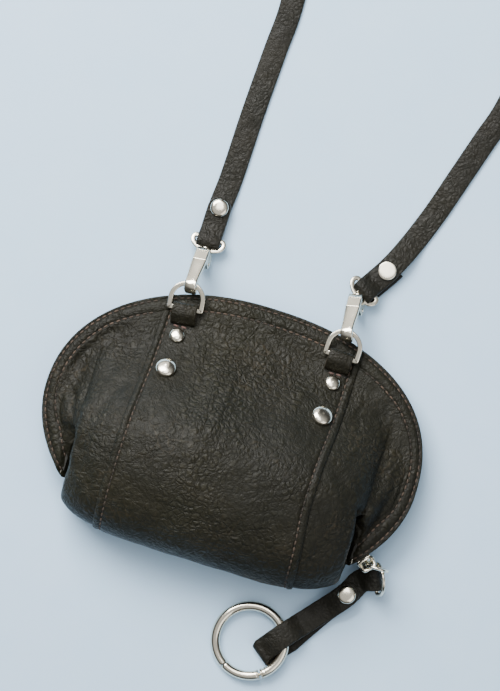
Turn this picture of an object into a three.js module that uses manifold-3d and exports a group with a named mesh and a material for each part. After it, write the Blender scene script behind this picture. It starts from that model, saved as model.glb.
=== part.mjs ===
// A leather pouch bag with a zip, a clip-on shoulder strap and a leash with a spring ring.
// It lies on its back. Millimetres, +X along the bag, +Y towards the strap, +Z up.
// The origin is the middle of the flat back.
import * as THREE from "three";
import { mergeVertices } from "three/addons/utils/BufferGeometryUtils.js";
import Module from "manifold-3d";

const wasm = await Module();
wasm.setup();

// Sizes of the bag
const HALF_LENGTH = 85; // middle of the bag to the zip at each side
const TOP_REACH = 60; // origin to the zip at the top
const BOTTOM_REACH = 56; // origin to the lowest point of the base
const PLEAT_X = 66; // middle of the bag to each pleat
const PLEAT_Y = -15; // line of the crest, where the pleats start
const BULGE = 41; // height of the crest at the middle
const PLEAT_HEIGHT = 24; // height of the crest at the pleats
const WAIST = 18; // height at which the base reaches furthest
const LEATHER = 1.5;
const LAP = 0.6; // how far the centre panel stands proud of the side panels
const SEAM_X = 44.5; // middle of the bag to the folded edges of the centre panel
const CLEARANCE = 0.3;
const SEAM_GAP = 0.12;

// Sizes of the zip
const ZIP_LOW = 7; // height of the zip at the top of the bag
const ZIP_HIGH = 14; // height of the zip at its lower ends
const FLANGE = 8; // width of the flat leather edge
const FLANGE_RISE = 1.5;
const SLOT = 3; // gap between the two leather edges
const CHAIN_WIDTH = 2.2;
const TAPE = 0.9;
const TAPE_WIDTH = 6;
const BACK_RISE_WIDTH = 22; // width of the edge that lifts off the ground
const SLIDER_LENGTH = 8;
const SLIDER_WIDTH = 6.5;
const SLIDER_PLATE = 1.2;
const SLIDER_TILT = 30; // degrees that the outer plate leans back
const SLIDER_FROM_PLEAT = 5.3; // end of the zip to the middle of the slider, along the bag
const PULLER_RADIUS = 4.6;
const PULLER_WIRE = 1.6;
const PULLER_LIFT = 22; // degrees that the puller ring stands above level
const BRIDGE_WIRE = 1.4;

// Sizes of the studs, tabs and rings
const FITTING_X = 35.8; // middle of the bag to each row of fittings
const LARGE_STUD_Y = 21;
const LARGE_STUD = 9.5;
const SMALL_STUD_Y = 36.2;
const SMALL_STUD = 7;
const STEM = 2.4;
const TAB_WIDTH = 11;
const TAB_LEATHER = 1.2;
const TAB_SLIT_Y = 41;
const D_WIRE = 1.8;
const D_WIDTH = 15.5;
const D_HEIGHT = 12.4;
const D_LEAN = 7; // degrees that the D-rings rise from the leather

// Sizes of the clasps
const CLASP_LENGTH = 22.5;
const CLASP_DEPTH = 8;
const CLASP_WIDTH = 4.2;
const BLOCK_WIDTH = 6.2;
const CLASP_SPINE = 2.2;
const CLASP_BLOCK = 7; // length of the block that holds the lever
const LEVER = 1.6; // thickness of the lever
const CLASP_PIN = 1.4;
const NECK = 2.4;
const NECK_HEAD = 4;
const EYE_WIDTH = 16.2;
const EYE_WIRE = 2.2;
const EYE_HEIGHT = 9.5;
const SWIVEL_BOSS = 3;
const SWIVEL_REACH = 3.9; // block to the head of the neck
const SWIVEL_HEAD = 1;
const THUMB = 2.4; // how far the lever's thumb piece stands out
const CLASP_RISE = 31; // degrees that a clasp rises towards its hook
const CLASP_SWING = { left: 2, right: -3 }; // degrees round the vertical
const CLASP_ROLL = { left: 15, right: 17 }; // degrees that the claw leans to the right
const EYE_SWING = { left: -3, right: 14 };
const EYE_DROP = 8;

// Sizes of the strap and the leash
const STRAP_LENGTH = 1000;
const STRAP_WIDTH = 10.5;
const STRAP_LEATHER = 1.8;
const RIVET = 8.2;
const RIVET_CAP = 0.8;
const LEASH_WIDTH = 10.5;
const LEASH_LEATHER = 1.8;
const KEY_RING = 35;
const KEY_WIRE = 4;
const KEY_PIN = 1.2;
const KEY_TONGUE = 1.4;
const KEY_PIN_ANGLE = 285; // degrees from the leash's crossing, as are the next ones
const KEY_TIP_ANGLE = 211;
const KEY_FORK = 6;
const LEASH_D_TURN = -67; // degrees, the direction of the bar of the leash's D-ring
const LEASH_D_RISE = 70; // degrees that this D-ring stands up

const WIRE_SIDES = 6;
const rad = THREE.MathUtils.degToRad;
const V = (x, y, z) => new THREE.Vector3(x, y, z);
const share = (from, to, k) => from + (to - from) * k;

// Materials
const finish = (color, roughness, metalness) =>
  new THREE.MeshStandardMaterial({ color, roughness, metalness, flatShading: true });
const LEATHER_FINISH = finish(0x3b3b33, 0.55, 0);
const STRAP_FINISH = finish(0x43433e, 0.6, 0);
const TAPE_FINISH = finish(0x2a2a28, 0.9, 0);
const METAL_FINISH = finish(0xc9c6ba, 0.25, 1);

// Solids

function closed(points, triangles) {
  const geometry = new THREE.BufferGeometry();
  const flat = points.flatMap((p) => [p.x, p.y, p.z]);
  geometry.setAttribute("position", new THREE.Float32BufferAttribute(flat, 3));
  geometry.setIndex(triangles.flat());
  return geometry;
}

// The solid of a closed geometry, with its faces turned out.
function solidOf(source, matrix = null) {
  let geometry = source.clone();
  if (matrix) geometry.applyMatrix4(matrix);
  geometry.deleteAttribute("normal");
  geometry.deleteAttribute("uv");
  geometry = mergeVertices(geometry, 1e-4);
  const position = geometry.getAttribute("position").array;
  const index = geometry.getIndex().array;
  const corners = [];
  let volume = 0;
  const at = (i) => V(position[3 * i], position[3 * i + 1], position[3 * i + 2]);
  for (let i = 0; i < index.length; i += 3) {
    const [a, b, c] = [index[i], index[i + 1], index[i + 2]];
    if (a === b || b === c || a === c) continue;
    corners.push(a, b, c);
    volume += at(a).dot(at(b).cross(at(c)));
  }
  if (volume < 0) corners.reverse();
  const mesh = new wasm.Mesh({
    numProp: 3,
    vertProperties: new Float32Array(position),
    triVerts: new Uint32Array(corners),
  });
  return new wasm.Manifold(mesh);
}

function geometryOf(solid) {
  const mesh = solid.getMesh();
  const geometry = new THREE.BufferGeometry();
  const position = new THREE.BufferAttribute(mesh.vertProperties, 3);
  geometry.setAttribute("position", position);
  geometry.setIndex(new THREE.BufferAttribute(mesh.triVerts, 1));
  return geometry;
}

// The flat end of a loft.
function capTriangles(ring, first, flip) {
  const normal = V(0, 0, 0);
  ring.forEach((p, i) => normal.add(p.clone().cross(ring[(i + 1) % ring.length])));
  normal.normalize();
  const across = Math.abs(normal.x) < 0.9 ? V(1, 0, 0) : V(0, 1, 0);
  const u = across.cross(normal).normalize();
  const v = normal.clone().cross(u);
  const contour = ring.map((p) => new THREE.Vector2(p.dot(u), p.dot(v)));
  return THREE.ShapeUtils.triangulateShape(contour, []).map(([a, b, c]) =>
    flip ? [first + a, first + c, first + b] : [first + a, first + b, first + c]
  );
}

// A closed body through rings of points, capped at its ends or joined end to end.
function loft(rings, joined = false) {
  const count = rings[0].length;
  const triangles = [];
  const spans = joined ? rings.length : rings.length - 1;
  for (let k = 0; k < spans; k++) {
    const here = k * count;
    const next = ((k + 1) % rings.length) * count;
    for (let i = 0; i < count; i++) {
      const j = (i + 1) % count;
      triangles.push([here + i, here + j, next + j], [here + i, next + j, next + i]);
    }
  }
  if (!joined) {
    triangles.push(...capTriangles(rings[0], 0, true));
    triangles.push(...capTriangles(rings.at(-1), (rings.length - 1) * count, false));
  }
  return closed(rings.flat(), triangles);
}

// A wire along a path: each point has its own side and up directions.
function wireRing(centre, side, up, radius, sides = WIRE_SIDES) {
  return Array.from({ length: sides }, (_, i) => {
    const angle = (2 * Math.PI * (i + 0.5)) / sides;
    const out = side.clone().multiplyScalar(radius * Math.cos(angle));
    return centre.clone().add(out).addScaledVector(up, radius * Math.sin(angle));
  });
}

// A closed wire loop in the plane of x and y.
function flatLoop(points, wire, sides = WIRE_SIDES) {
  const rings = points.map((p, i) => {
    const before = points.at(i - 1);
    const after = points[(i + 1) % points.length];
    const along = after.clone().sub(before).normalize();
    return wireRing(p, along.clone().cross(V(0, 0, 1)), V(0, 0, 1), wire / 2, sides);
  });
  return loft(rings, true);
}

// The middle line of a D-ring: a bar on the x axis and an arch that ends in a round top.
function dPath(width, height, wire) {
  const half = (width - wire) / 2;
  const reach = height - wire;
  const leg = reach - half;
  const points = [V(-half + 1, 0, 0), V(0, 0, 0), V(half - 1, 0, 0), V(half, 1, 0)];
  const steps = 10;
  for (let i = 0; i <= steps; i++) {
    const angle = (Math.PI * i) / steps;
    points.push(V(half * Math.cos(angle), leg + half * Math.sin(angle), 0));
  }
  points.push(V(-half, 1, 0));
  return points;
}

function ringPath(radius, steps) {
  return Array.from({ length: steps }, (_, i) => {
    const angle = (2 * Math.PI * i) / steps;
    return V(radius * Math.cos(angle), radius * Math.sin(angle), 0);
  });
}

// A turned piece with its axis along z: rows of radius and height, from axis to axis.
function turned(rows, segments = 10) {
  const profile = rows.map(([radius, height]) => new THREE.Vector2(radius, height));
  const geometry = new THREE.LatheGeometry(profile, segments);
  return geometry.rotateX(Math.PI / 2);
}

// A rivet or stud whose dome sits at height 0 and whose stem reaches down through the leather.
function rivet(head, height, grip) {
  const stem = STEM / 2;
  const cap = head * 0.3;
  return turned([
    [0, -grip - RIVET_CAP],
    [cap, -grip - RIVET_CAP],
    [cap, -grip],
    [stem, -grip],
    [stem, 0],
    [head / 2, 0],
    [head / 2, height * 0.3],
    [head * 0.36, height * 0.8],
    [head * 0.18, height],
    [0, height],
  ]);
}

const stemHole = (depth) => {
  const hole = new THREE.CylinderGeometry(STEM / 2 + CLEARANCE, STEM / 2 + CLEARANCE, depth, 8);
  return hole.rotateX(Math.PI / 2);
};

function frame(origin, x, y, z) {
  const matrix = new THREE.Matrix4().makeBasis(x, y, z);
  return matrix.setPosition(origin);
}

// Shape of the bag

const LEFT_ROUNDNESS = 2.12;
const RIGHT_ROUNDNESS = 2.35;
const LOWER_SHARE = 1.008; // reach of the lower half of the outline, as a share of the upper

// A point of the outline, from its angle in degrees.
function outline(angle) {
  const c = Math.cos(rad(angle));
  const s = Math.sin(rad(angle));
  if (s < 0) return V(HALF_LENGTH * c, TOP_REACH * LOWER_SHARE * s, 0);
  const power = 2 / (c < 0 ? LEFT_ROUNDNESS : RIGHT_ROUNDNESS);
  const x = HALF_LENGTH * Math.sign(c) * Math.abs(c) ** power;
  return V(x, TOP_REACH * s ** power, 0);
}

function outlineTop(x) {
  const roundness = x < 0 ? LEFT_ROUNDNESS : RIGHT_ROUNDNESS;
  return TOP_REACH * (1 - Math.abs(x / HALF_LENGTH) ** roundness) ** (1 / roundness);
}

function zipHeight(y) {
  const lowEnd = -Math.sqrt(1 - (PLEAT_X / HALF_LENGTH) ** 2) * TOP_REACH;
  const k = THREE.MathUtils.clamp((TOP_REACH - y) / (TOP_REACH - lowEnd), 0, 1);
  return share(ZIP_LOW, ZIP_HIGH, k ** 1.3);
}

const BASE_END = 1.023; // where the base would close, as a share of the pleat's place
const baseShare = (x) => Math.sqrt(Math.max(0, 1 - Math.abs(x / (PLEAT_X * BASE_END)) ** 5));
const baseY = (x) => share(-0.68 * BOTTOM_REACH, -BOTTOM_REACH, baseShare(x));
const waist = (x) => share(WAIST * 0.83, WAIST, baseShare(x));
function crest(x) {
  const k = Math.max(0, 1 - Math.abs(x / PLEAT_X) ** 2.45);
  return share(PLEAT_HEIGHT, BULGE, Math.sqrt(k));
}

// Soft dents and ridges of the front. Places and sizes are shares of the half length.
const DENTS = [
  { x: -0.86, y: 0.02, long: 0.22, wide: 0.05, turn: 84, depth: 1.6 },
  { x: 0.8, y: 0.03, long: 0.2, wide: 0.05, turn: 97, depth: 1.4 },
  { x: -0.12, y: 0.12, long: 0.34, wide: 0.06, turn: 88, depth: -0.9 },
  { x: 0.16, y: 0.2, long: 0.3, wide: 0.09, turn: 80, depth: 0.9 },
  { x: -0.3, y: 0.3, long: 0.2, wide: 0.08, turn: 70, depth: 0.7 },
  { x: 0.66, y: 0.3, long: 0.2, wide: 0.07, turn: 30, depth: 0.8 },
  { x: -0.68, y: 0.34, long: 0.2, wide: 0.07, turn: 150, depth: 0.8 },
];
function dent(x, y) {
  return DENTS.reduce((sum, row) => {
    const dx = x / HALF_LENGTH - row.x;
    const dy = y / HALF_LENGTH - row.y;
    const c = Math.cos(rad(row.turn));
    const s = Math.sin(rad(row.turn));
    const along = (dx * c + dy * s) / row.long;
    const across = (dy * c - dx * s) / row.wide;
    return sum - row.depth * Math.exp(-(along ** 2) - across ** 2);
  }, 0);
}

// Height of the outer face of the front, a distance inside the edge.
function frontHeight(distance, reach, zip, top) {
  const edge = zip + SLOT / 2 + LEATHER;
  if (distance <= FLANGE) return edge + (FLANGE_RISE * distance) / FLANGE;
  const k = (distance - FLANGE) / (reach - FLANGE);
  return share(edge + FLANGE_RISE, top, (1 - Math.cos(Math.PI * k)) / 2);
}

// The back's edge comes down to the ground within its own width, and before the foot.
const backWidth = (reach) => Math.min(BACK_RISE_WIDTH, reach * 0.9);
function backHeight(distance, zip, reach = Infinity) {
  const k = Math.max(0, 1 - distance / backWidth(reach));
  return (zip - SLOT / 2 - LEATHER) * k ** 2;
}

// One line of the skin from the crest over the edge to the back, in a plane through the foot.
// inset is 0 for the outer skin and the leather's thickness for the inner one.
const FRONT_STEPS = 7;
const BACK_SHARES = [0.36, 0.65, 1];
function edgeLine(foot, rim, top, inset, lift = 0) {
  const reach = Math.hypot(rim.x - foot.x, rim.y - foot.y);
  const zip = zipHeight(rim.y);
  const start = inset > 0 ? SLOT : -lift;
  const place = (distance, height) => {
    const k = distance / reach;
    return V(share(rim.x, foot.x, k), share(rim.y, foot.y, k), height);
  };
  const line = [];
  for (let i = 0; i <= FRONT_STEPS; i++) {
    const distance = share(reach, FLANGE, i / FRONT_STEPS);
    const p = place(distance, frontHeight(distance, reach, zip, top) - inset + lift);
    const fadeWidth = Math.min(FLANGE, reach - FLANGE);
    const fade = Math.sin((Math.PI / 2) * Math.min(1, (distance - FLANGE) / fadeWidth));
    p.z += dent(p.x, p.y) * Math.max(0, fade);
    line.push(p);
  }
  line.push(place(start, frontHeight(Math.max(0, start), reach, zip, top) - inset + lift));
  line.push(place(start, backHeight(Math.max(0, start), zip, reach) + inset));
  for (const k of BACK_SHARES) {
    const distance = backWidth(reach) * k;
    if (distance > start) line.push(place(distance, backHeight(distance, zip, reach) + inset));
  }
  line.push(place(reach, inset));
  return line;
}

// The line of the skin from the crest round the base to the back.
const BASE_STEPS = 5;
function baseLine(x, inset, lift) {
  const top = crest(x) - inset + lift + dent(x, PLEAT_Y);
  const low = baseY(x) + inset - lift;
  const middle = waist(x);
  const backStart = share(PLEAT_Y, low, 0.45);
  const line = [];
  for (let i = 1; i <= BASE_STEPS; i++) {
    const angle = (Math.PI / 2) * (i / BASE_STEPS);
    const y = share(PLEAT_Y, low, Math.sin(angle) ** (2 / 2.35));
    line.push(V(x, y, share(middle, top, Math.cos(angle) ** (2 / 2.35))));
  }
  for (let i = 1; i <= BASE_STEPS; i++) {
    const angle = (Math.PI / 2) * (i / BASE_STEPS);
    const y = share(backStart, low, Math.cos(angle) ** (2 / 3.6));
    line.push(V(x, y, share(middle, inset, Math.sin(angle) ** (2 / 3.6))));
  }
  return line;
}

// The body between two places along the bag, as a closed solid.
const COLUMNS = 16;
const CENTRE_COLUMNS = 12;
function bodySolid(fromX, toX, inset, lift, columns = COLUMNS) {
  const rings = [];
  for (let i = 0; i <= columns; i++) {
    const x = share(fromX, toX, i / columns);
    const rim = V(x, outlineTop(x), 0);
    const over = edgeLine(V(x, PLEAT_Y, 0), rim, crest(x), inset, lift);
    rings.push([...over, ...baseLine(x, inset, lift).reverse()]);
  }
  return solidOf(loft(rings));
}

// The wing outside a pleat: side is 1 for the right and -1 for the left.
const WING_STEPS = 10;
const OVERLAP = 1.3; // how far a wing reaches into the body before they are joined
const SINK = 0.12;
function wingAngles(side, fromX = PLEAT_X) {
  const roundness = side > 0 ? RIGHT_ROUNDNESS : LEFT_ROUNDNESS;
  const high = Math.acos((fromX / HALF_LENGTH) ** (roundness / 2));
  const low = -Math.acos(fromX / HALF_LENGTH);
  return Array.from({ length: WING_STEPS + 1 }, (_, i) => {
    const angle = THREE.MathUtils.radToDeg(share(high, low, i / WING_STEPS));
    return side > 0 ? angle : 180 - angle;
  });
}
function wingSolid(side, inset) {
  const fromX = PLEAT_X - inset - OVERLAP;
  const foot = V(side * fromX, PLEAT_Y, 0);
  const rays = wingAngles(side, fromX).map((angle) =>
    edgeLine(foot, outline(angle), PLEAT_HEIGHT, inset)
  );
  // The edge that lies inside the body is sunk a little, so that it doesn't show.
  rays.forEach((ray, k) => {
    ray.forEach((p, i) => {
      const shared = i === 0 || i === ray.length - 1;
      if (!shared && k > 0 && k < rays.length - 1) return;
      p.z += i <= FRONT_STEPS + 1 ? -SINK : SINK;
    });
  });
  return solidOf(loft(rays));
}

function skin(inset) {
  const reach = PLEAT_X - inset;
  const body = bodySolid(-reach, reach, inset, 0);
  return body.add(wingSolid(1, inset)).add(wingSolid(-1, inset));
}

const group = new THREE.Group();
function piece(name, solid, material) {
  const mesh = new THREE.Mesh(geometryOf(solid), material);
  mesh.name = name;
  group.add(mesh);
}

// Panels

// The folded edges of the centre panel, as shares of the top reach and of the seam's place.
const SEAMS = [
  { y: 1.2, left: 0.99, right: 1.0 },
  { y: 0.33, left: 1.01, right: 0.995 },
  { y: 0, left: 1.034, right: 0.96 },
  { y: -0.33, left: 1.045, right: 0.955 },
  { y: -0.67, left: 1.045, right: 1.0 },
  { y: -1.2, left: 1.02, right: 1.02 },
];
function seamPrism(gap) {
  const left = SEAMS.map((row) => [-row.left * SEAM_X - gap, row.y * TOP_REACH]);
  const right = SEAMS.map((row) => [row.right * SEAM_X + gap, row.y * TOP_REACH]);
  const edge = [...left, ...right.reverse()].map(([x, y]) => new THREE.Vector2(x, y));
  const depth = BULGE * 1.5;
  const prism = new THREE.ExtrudeGeometry(new THREE.Shape(edge), { depth, bevelEnabled: false });
  return solidOf(prism.translate(0, 0, -depth / 6));
}

// Stations round the zip, from its lower right end to its lower left end.
function zipStations() {
  const wing = (side) =>
    wingAngles(side).map((angle) => ({ rim: outline(angle), foot: V(side * PLEAT_X, PLEAT_Y, 0) }));
  const top = [];
  for (let i = 1; i < COLUMNS; i++) {
    const x = share(PLEAT_X, -PLEAT_X, i / COLUMNS);
    top.push({ rim: V(x, outlineTop(x), 0), foot: V(x, PLEAT_Y, 0) });
  }
  return [...wing(1).reverse(), ...top, ...wing(-1)].map((station) => {
    const reach = station.rim.distanceTo(station.foot);
    const inward = station.foot.clone().sub(station.rim).normalize();
    const top = Math.abs(station.foot.x) < PLEAT_X ? crest(station.foot.x) : PLEAT_HEIGHT;
    return { ...station, reach, inward, top, zip: zipHeight(station.rim.y) };
  });
}
const STATIONS = zipStations();

// A band along the zip. corners gives distances inside the edge and heights for one station.
function zipBand(corners, stations = STATIONS) {
  const rings = stations.map((station) =>
    corners(station).map(([distance, height]) => {
      const p = station.rim.clone().addScaledVector(station.inward, distance);
      return p.setZ(height);
    })
  );
  return solidOf(loft(rings));
}

// The slot also runs a little way into the pleats.
const inPleat = (station) => ({
  ...station,
  rim: station.rim.clone().setX(station.rim.x - Math.sign(station.rim.x) * LEATHER),
});
const SLOT_DEPTH = SLOT * 1.2;
const slotStations = [inPleat(STATIONS[0]), ...STATIONS, inPleat(STATIONS.at(-1))];
const slot = zipBand(
  ({ zip, reach, top }) => [
    [-SLOT, zip - SLOT / 2],
    [0, zip - SLOT / 2],
    [SLOT_DEPTH, backHeight(SLOT_DEPTH, zip, reach) + LEATHER + SINK],
    [SLOT_DEPTH, frontHeight(SLOT_DEPTH, reach, zip, top) - LEATHER - SINK],
    [0, zip + SLOT / 2],
    [-SLOT, zip + SLOT / 2],
  ],
  slotStations
);

const inner = skin(LEATHER);
const sides = skin(0).subtract(inner).subtract(slot).subtract(seamPrism(SEAM_GAP));
const [partA, partB] = sides.decompose();
const onRight = (solid) => solid.boundingBox().max[0] > 0;
piece("side_panel_left", onRight(partA) ? partB : partA, LEATHER_FINISH);
piece("side_panel_right", onRight(partA) ? partA : partB, LEATHER_FINISH);

// A place on the outer face of the centre panel: z is the face's normal, y runs down to the zip.
// span is the length that y is measured along.
function onPanel(x, y, span = 1) {
  const height = (px, py) => {
    const rim = outlineTop(px);
    const distance = rim - py;
    const reach = rim - PLEAT_Y;
    return frontHeight(distance, reach, zipHeight(rim), crest(px)) + LAP + dent(px, py);
  };
  const z = height(x, y);
  const alongX = V(1, 0, height(x + 0.5, y) - height(x - 0.5, y));
  const alongY = V(0, span, height(x, y + span) - z).normalize();
  const normal = alongX.clone().cross(alongY).normalize();
  const across = alongY.clone().cross(normal);
  return frame(V(x, y, z), across, alongY, normal);
}

let centre = bodySolid(-SEAM_X * 1.15, SEAM_X * 1.15, 0, LAP, CENTRE_COLUMNS);
centre = centre.subtract(inner).subtract(slot).intersect(seamPrism(0));

// Studs, tabs and D-rings

// A flat strip: each station has a middle, a side direction and a share of the width.
function strip(stations, width, thickness) {
  const rings = stations.map(({ p, side, narrow = 1 }, i) => {
    const before = stations[Math.max(0, i - 1)].p;
    const after = stations[Math.min(stations.length - 1, i + 1)].p;
    const along = after.clone().sub(before).normalize();
    const up = side.clone().cross(along).normalize();
    const corner = (across, high) =>
      p
        .clone()
        .addScaledVector(side, (across * width * narrow) / 2)
        .addScaledVector(up, (high * thickness) / 2);
    return [corner(-1, -1), corner(1, -1), corner(1, 1), corner(-1, 1)];
  });
  return solidOf(loft(rings));
}

const SIDES = [
  { word: "left", sign: -1 },
  { word: "right", sign: 1 },
];
const TAB_LAYER = LEATHER + LAP + CLEARANCE;
const TAB_STEP = TAB_LEATHER + CLEARANCE;
const TAB_GRIP = TAB_LAYER + TAB_STEP * 2;
const TAB_BAR = 8.2; // slit to the D-ring's bar, along the leather
const dRings = {};
for (const { word, sign } of SIDES) {
  const x = sign * FITTING_X;
  const large = onPanel(x, LARGE_STUD_Y);
  const small = onPanel(x, SMALL_STUD_Y);
  const slit = onPanel(x, TAB_SLIT_Y, TAB_BAR);
  centre = centre.subtract(solidOf(stemHole(LEATHER * 6), large));
  centre = centre.subtract(solidOf(stemHole(LEATHER * 6), small));
  const slitDepth = TAB_STEP * 2 + CLEARANCE * 3;
  const opening = new THREE.BoxGeometry(TAB_WIDTH + 2 * CLEARANCE, slitDepth, LEATHER * 6);
  centre = centre.subtract(solidOf(opening, slit));

  const sag = (head) => (head * head) / 220 + CLEARANCE;
  const lift = (head) => new THREE.Matrix4().makeTranslation(0, 0, sag(head));
  const largeGrip = LEATHER + LAP + sag(LARGE_STUD) + CLEARANCE;
  const smallGrip = TAB_GRIP + sag(SMALL_STUD) + CLEARANCE;
  const largeStud = rivet(LARGE_STUD, LARGE_STUD * 0.24, largeGrip);
  const smallStud = rivet(SMALL_STUD, SMALL_STUD * 0.26, smallGrip);
  piece(`stud_large_${word}`, solidOf(largeStud, large.clone().multiply(lift(LARGE_STUD))), METAL_FINISH);
  piece(`stud_small_${word}`, solidOf(smallStud, small.clone().multiply(lift(SMALL_STUD))), METAL_FINISH);

  // The tab in the slit's own frame: y along the leather, z out of it.
  const half = TAB_LEATHER / 2;
  const turn = D_WIRE / 2 + CLEARANCE + half;
  const low = CLEARANCE + half;
  const bar = V(0, TAB_BAR, low + turn);
  const behind = small.clone().premultiply(slit.clone().invert());
  const stud = V(0, 0, 0).applyMatrix4(behind);
  const inward = V(0, 0, -1).transformDirection(behind);
  const layer = (depth) => stud.clone().addScaledVector(inward, depth);
  const upperIn = TAB_LAYER + half;
  const lowerIn = upperIn + TAB_STEP;
  const tailEnd = V(0, -STEM * 1.3, 0);
  const through = TAB_STEP / 2;
  const points = [
    layer(upperIn).add(tailEnd),
    layer(upperIn),
    V(0, -through - half, -upperIn - half / 2),
    V(0, -through, -LEATHER - LAP),
    V(0, -through, 0),
    V(0, 0, low + TAB_LEATHER * 0.7),
    V(0, through + half, low + TAB_STEP + half / 3),
    V(0, TAB_BAR * 0.5, low + turn * 1.6),
    V(0, TAB_BAR * 0.8, bar.z + turn * 0.94),
  ];
  for (let i = 0; i <= 6; i++) {
    const angle = rad(80 - 170 * (i / 6));
    points.push(V(0, bar.y + turn * Math.cos(angle), bar.z + turn * Math.sin(angle)));
  }
  points.push(
    V(0, TAB_BAR * 0.6, low),
    V(0, through + TAB_LEATHER, low),
    V(0, through + 0.1, half),
    V(0, through, -LEATHER / 2),
    V(0, through, -LEATHER - LAP - half),
    V(0, through * 0.4, -lowerIn + half),
    V(0, -through - half, -lowerIn - half / 2),
    layer(lowerIn),
    layer(lowerIn).add(tailEnd)
  );
  const tabStations = points.map((p) => ({ p, side: V(1, 0, 0) }));
  let tab = strip(tabStations, TAB_WIDTH, TAB_LEATHER);
  tab = tab.subtract(solidOf(stemHole(TAB_GRIP * 4), behind));
  piece(`tab_${word}`, solidOf(geometryOf(tab), slit), LEATHER_FINISH);

  // The D-ring leans from its bar over the zip.
  const barPlace = bar.clone().applyMatrix4(slit);
  const lean = V(0, Math.cos(rad(D_LEAN)), Math.sin(rad(D_LEAN)));
  const dFrame = frame(barPlace, V(1, 0, 0), lean, V(1, 0, 0).cross(lean));
  const dRing = flatLoop(dPath(D_WIDTH, D_HEIGHT, D_WIRE), D_WIRE);
  piece(`d_ring_${word}`, solidOf(dRing, dFrame), METAL_FINISH);
  dRings[word] = V(0, D_HEIGHT - D_WIRE, 0).applyMatrix4(dFrame);
}
piece("centre_panel", centre, LEATHER_FINISH);

// Zip

const chain = zipBand(({ zip }) => {
  const half = SLOT / 2 - CLEARANCE;
  const from = CLEARANCE;
  const to = CLEARANCE + CHAIN_WIDTH;
  return [
    [from, zip - half],
    [to, zip - half],
    [to, zip + half],
    [from, zip + half],
  ];
});
const tapeStart = CLEARANCE * 2 + CHAIN_WIDTH;
const tapeEnd = tapeStart + TAPE_WIDTH;
const tapeFront = zipBand(({ zip, reach, top }) => {
  const under = (d) => frontHeight(d, reach, zip, top) - LEATHER - CLEARANCE;
  return [
    [tapeStart, under(tapeStart) - TAPE],
    [tapeEnd, under(tapeEnd) - CLEARANCE - TAPE],
    [tapeEnd, under(tapeEnd) - CLEARANCE],
    [tapeStart, under(tapeStart)],
  ];
});
const tapeBack = zipBand(({ zip }) => {
  const over = (d) => backHeight(d, zip) + LEATHER + CLEARANCE;
  return [
    [tapeStart, over(tapeStart)],
    [tapeEnd, over(tapeEnd) + 2.5 * CLEARANCE],
    [tapeEnd, over(tapeEnd) + 2.5 * CLEARANCE + TAPE],
    [tapeStart, over(tapeStart) + TAPE],
  ];
});

// Slider, in a frame at the edge: x along the zip, y outwards, z up.
const sliderAngle = -Math.acos((PLEAT_X + SLIDER_FROM_PLEAT) / HALF_LENGTH);
const sliderRim = outline(THREE.MathUtils.radToDeg(sliderAngle));
const sliderZip = zipHeight(sliderRim.y);
const lowerReach = TOP_REACH * LOWER_SHARE;
const outwards = V(sliderRim.x / HALF_LENGTH ** 2, sliderRim.y / lowerReach ** 2, 0).normalize();
const zipAlong = V(-outwards.y, outwards.x, 0);
const sliderFrame = frame(sliderRim.clone().setZ(sliderZip), zipAlong, outwards, V(0, 0, 1));
const block = (x, y, z, at) => new THREE.BoxGeometry(x, y, z).translate(at.x, at.y, at.z);

const neckHeight = SLOT / 2 - CLEARANCE;
const neckLength = SLIDER_LENGTH * 0.35;
const backPlate = { length: SLIDER_LENGTH * 0.8, depth: SLIDER_PLATE * 0.8 };
const backPlateY = -(CLEARANCE * 2 + CHAIN_WIDTH + backPlate.depth / 2);
const plateY = SLIDER_PLATE / 2 + SLIDER_WIDTH * 0.3;
const neckEnds = [backPlateY, plateY];
const neckMiddle = V(0, (neckEnds[0] + neckEnds[1]) / 2, 0);
const neck = (grow) =>
  block(neckLength + grow, neckEnds[1] - neckEnds[0], neckHeight + grow, neckMiddle);
const backBox = (grow) =>
  block(backPlate.length + grow, backPlate.depth + grow, 2 * neckHeight, V(0, backPlateY, 0));
const tilt = new THREE.Matrix4().makeRotationX(rad(SLIDER_TILT));
tilt.setPosition(0, plateY, 0);
const plateFrame = sliderFrame.clone().multiply(tilt);
const plate = block(SLIDER_LENGTH, SLIDER_PLATE, SLIDER_WIDTH, V(0, 0, 0));
const bridgeTop = SLIDER_PLATE / 2 + PULLER_WIRE + 2 * CLEARANCE + BRIDGE_WIRE / 2;
const bridgeHalf = SLIDER_LENGTH * 0.36;
const bridgePath = [
  V(-bridgeHalf, 0, 0),
  V(-bridgeHalf, bridgeTop * 0.7, 0),
  V(-bridgeHalf * 0.7, bridgeTop, 0),
  V(bridgeHalf * 0.7, bridgeTop, 0),
  V(bridgeHalf, bridgeTop * 0.7, 0),
  V(bridgeHalf, 0, 0),
];
const bridgeRings = bridgePath.map((p, i) => {
  const before = bridgePath[Math.max(0, i - 1)];
  const after = bridgePath[Math.min(bridgePath.length - 1, i + 1)];
  const along = after.clone().sub(before).normalize();
  return wireRing(p, along.clone().cross(V(0, 0, 1)), V(0, 0, 1), BRIDGE_WIRE / 2);
});
let slider = solidOf(neck(0), sliderFrame).add(solidOf(backBox(0), sliderFrame));
slider = slider.add(solidOf(plate, plateFrame)).add(solidOf(loft(bridgeRings), plateFrame));
piece("zip_slider", slider, METAL_FINISH);
const around = solidOf(backBox(4 * CLEARANCE), sliderFrame).add(
  solidOf(neck(2 * CLEARANCE), sliderFrame)
);
piece("zip_tape_front", tapeFront.subtract(around), TAPE_FINISH);
piece("zip_tape_back", tapeBack.subtract(around), TAPE_FINISH);
piece("zip_chain", chain.subtract(around), METAL_FINISH);

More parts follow.
